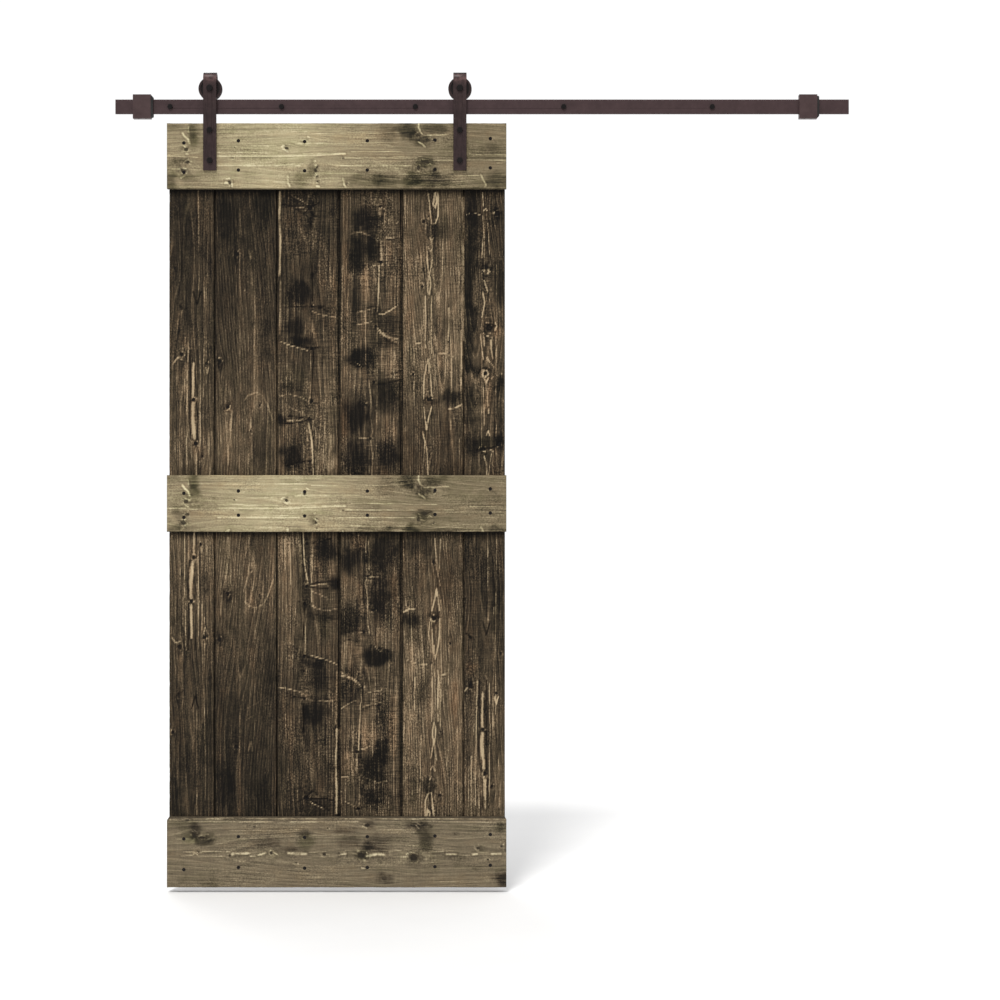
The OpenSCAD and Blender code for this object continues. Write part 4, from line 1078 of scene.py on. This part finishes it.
PLANK_EASE = 1.5
for i, marks in enumerate(PLANKS):
    node = f"plank_{i + 1}"
    first, last = i == 0, i + 1 == len(PLANKS)
    lo, hi = lo_hi(node)
    tall, thick = hi[2] - lo[2], hi[1] - lo[1]
    wide = hi[0] - lo[0] - (0 if last else SEAMS[i] + TONGUE)
    board = {
        "name": f"board_{i + 1}", "node": node, "seed": 3 + i, "upright": True,
        "marks": marks, "fold": FOLDS[i], "span": 1000.0,
        # under: how far below the door's top the top and middle ledges end; the painted shadow falls just
        # below them.
        "under": [hi[2] - lo_hi(n)[0][2] for n in ("top_ledge", "middle_ledge")],
        "u0": lo[0], "v0": hi[2], "y0": lo[1], "w": wide, "t": thick, "length": tall,
        "section": plank_ring(wide, thick, PLANK_EASE, SEAMS[i], last, first),
        "rows": spaced(0, tall, 4.0),
    }
    board.update((key, values[i]) for key, values in PLANK_LOOKS.items())
    held = [p for s in screws.values() for p in s if lo[0] < p[0] < lo[0] + wide]
    bored = [p for p in bolts if lo[0] - 12 < p[0] < hi[0] + 12]
    obj = make_board(board, held, bored, DARK, DARK_END)

LEDGE_EASE = 2.5
END_ROWS = np.array([0, 0.5, 1, 1.7, 2.5, 3.5])
# node, seed, bevel, clipped corner along and down, marks, how strongly they are drawn, face
for node, seed, bevel, corner, marks, drawn, face in (
    ("top_ledge", 41, LEDGE_EASE, (0.5, 0.5), UPPER_LEDGE, 0.95, TAN),
    ("middle_ledge", 42, LEDGE_EASE, (0.5, 0.5), UPPER_LEDGE, 0.95, TAN),
    ("bottom_ledge", 43, 10.0, (5.0, 8.0), BOTTOM_LEDGE, 0.8, GREY),
):
    lo, hi = lo_hi(node)
    long, thick, tall = hi - lo
    board = {
        "name": node + "_board", "node": node, "seed": seed, "upright": False,
        "marks": marks, "fold": None, "span": long, "under": (),
        "rough": 0.95, "saw": 0.5, "drawn": drawn, "ring": 9.0, "ease": LEDGE_EASE, "cut": corner,
        "u0": hi[2], "v0": lo[0], "y0": lo[1], "w": tall, "t": thick, "length": long,
        "section": ledge_ring(tall, thick, LEDGE_EASE, bevel),
        "rows": np.unique(np.concatenate([spaced(5, long - 5, 3.4), END_ROWS, long - END_ROWS])),
    }
    obj = make_board(board, screws[node], bolts if node == "top_ledge" else [], face, TAN_END)


# ---------------------------------------------------------------- hardware

LOOKS = {
    "track": BRONZE_BAR, "wall_spacers": BRONZE, "stop_left": BRONZE_STOP, "stop_right": BRONZE_STOP,
    "strap": STRAP, "wheel_left": WHEEL_LEFT, "wheel_right": WHEEL_RIGHT,
    "stop_pad": RUBBER, "bearing_shields": RUBBER,
    "bolt_washers": ZINC, "bolt_nuts": ZINC, "axle_spacers": ZINC,
    "bearing_inner": STEEL, "bearing_outer": STEEL, "bearing_balls": STEEL,
}
# The hardware with eased edges. What has no look above is black.
EASED = ("strap", "track", "stop_left", "stop_right", "stop_pad", "axle_nut", "door_bolts")
for name, obj in NODES.items():
    look = BLACK
    for start, found in LOOKS.items():
        if name.startswith(start):
            look = found
    obj.data.materials.clear()
    obj.data.materials.append(look)
    if name.startswith(EASED):
        obj.modifiers.new("joined", "WELD").merge_threshold = 0.02 * MM
        ease = obj.modifiers.new("eased", "BEVEL")
        ease.width, ease.segments, ease.angle_limit = 0.5 * MM, 2, math.radians(40)


# ---------------------------------------------------------------- stage, lights and camera

def aim(obj, at):
    """Turns a lamp towards a point."""
    obj.rotation_euler = (Vector(at) - Vector(obj.location)).to_track_quat("-Z", "Y").to_euler()


# The floor lies this many millimetres under the door, and reaches this many metres each way.
FLOOR_GAP, FLOOR_HALF = 14, 30
floor_z = (door_foot - FLOOR_GAP) * MM
corners = [(FLOOR_HALF * a, FLOOR_HALF * b, floor_z) for a, b in ((-1, -1), (1, -1), (1, 1), (-1, 1))]
floor_mesh = bpy.data.meshes.new("floor")
floor_mesh.from_pydata(corners, [], [(0, 1, 2, 3)])
floor = placed("floor", floor_mesh)
g = Look("pale_floor")
spot = g.noise(Value(g, g.node("TexCoord").outputs["Object"]), (3, 3, 3), 3, 0.5)
paint = g.ramp(spot, [(0.0, (246, 246, 246)), (1.0, (252, 252, 252))])
floor_mesh.materials.append(g.finish(paint, 0.9, spec=0.1))

# The world lights the door at the first strength, and the camera sees it at the second.
WORLD_LIGHT, WORLD_SEEN = 0.7, 1.05
world = bpy.data.worlds.new("studio")
bpy.context.scene.world = world
world.use_nodes = True
wt = world.node_tree
wt.nodes["Background"].inputs[0].default_value = (1, 1, 1, 1)
path, pick = wt.nodes.new("ShaderNodeLightPath"), wt.nodes.new("ShaderNodeMapRange")
pick.inputs["To Min"].default_value = WORLD_LIGHT
pick.inputs["To Max"].default_value = WORLD_SEEN
wt.links.new(path.outputs["Is Camera Ray"], pick.inputs["Value"])
wt.links.new(pick.outputs[0], wt.nodes["Background"].inputs[1])

sun = bpy.data.lights.new("key", "SUN")
sun.energy, sun.angle, sun.color = 1.9, math.radians(14), (1.0, 0.99, 0.97)
aim(placed("key", sun, (-1.1, -4.2, 4.9)), (0.0, 0.0, 0.0))
rear = bpy.data.lights.new("rear", "AREA")
rear.shape, rear.size, rear.energy = "DISK", 3.0, 90
aim(placed("rear", rear, (-2.0, 4.5, 2.6)), (0.1, 0, -1.0))

cam = bpy.data.cameras.new("camera")
cam.lens, cam.sensor_width = 79.0, 36.0
eye = placed("camera", cam, (0.161, -6.045, -1.076))
eye.rotation_euler = (math.pi / 2, 0, 0)
bpy.context.scene.camera = eye
bpy.context.scene.view_settings.view_transform = "Standard"
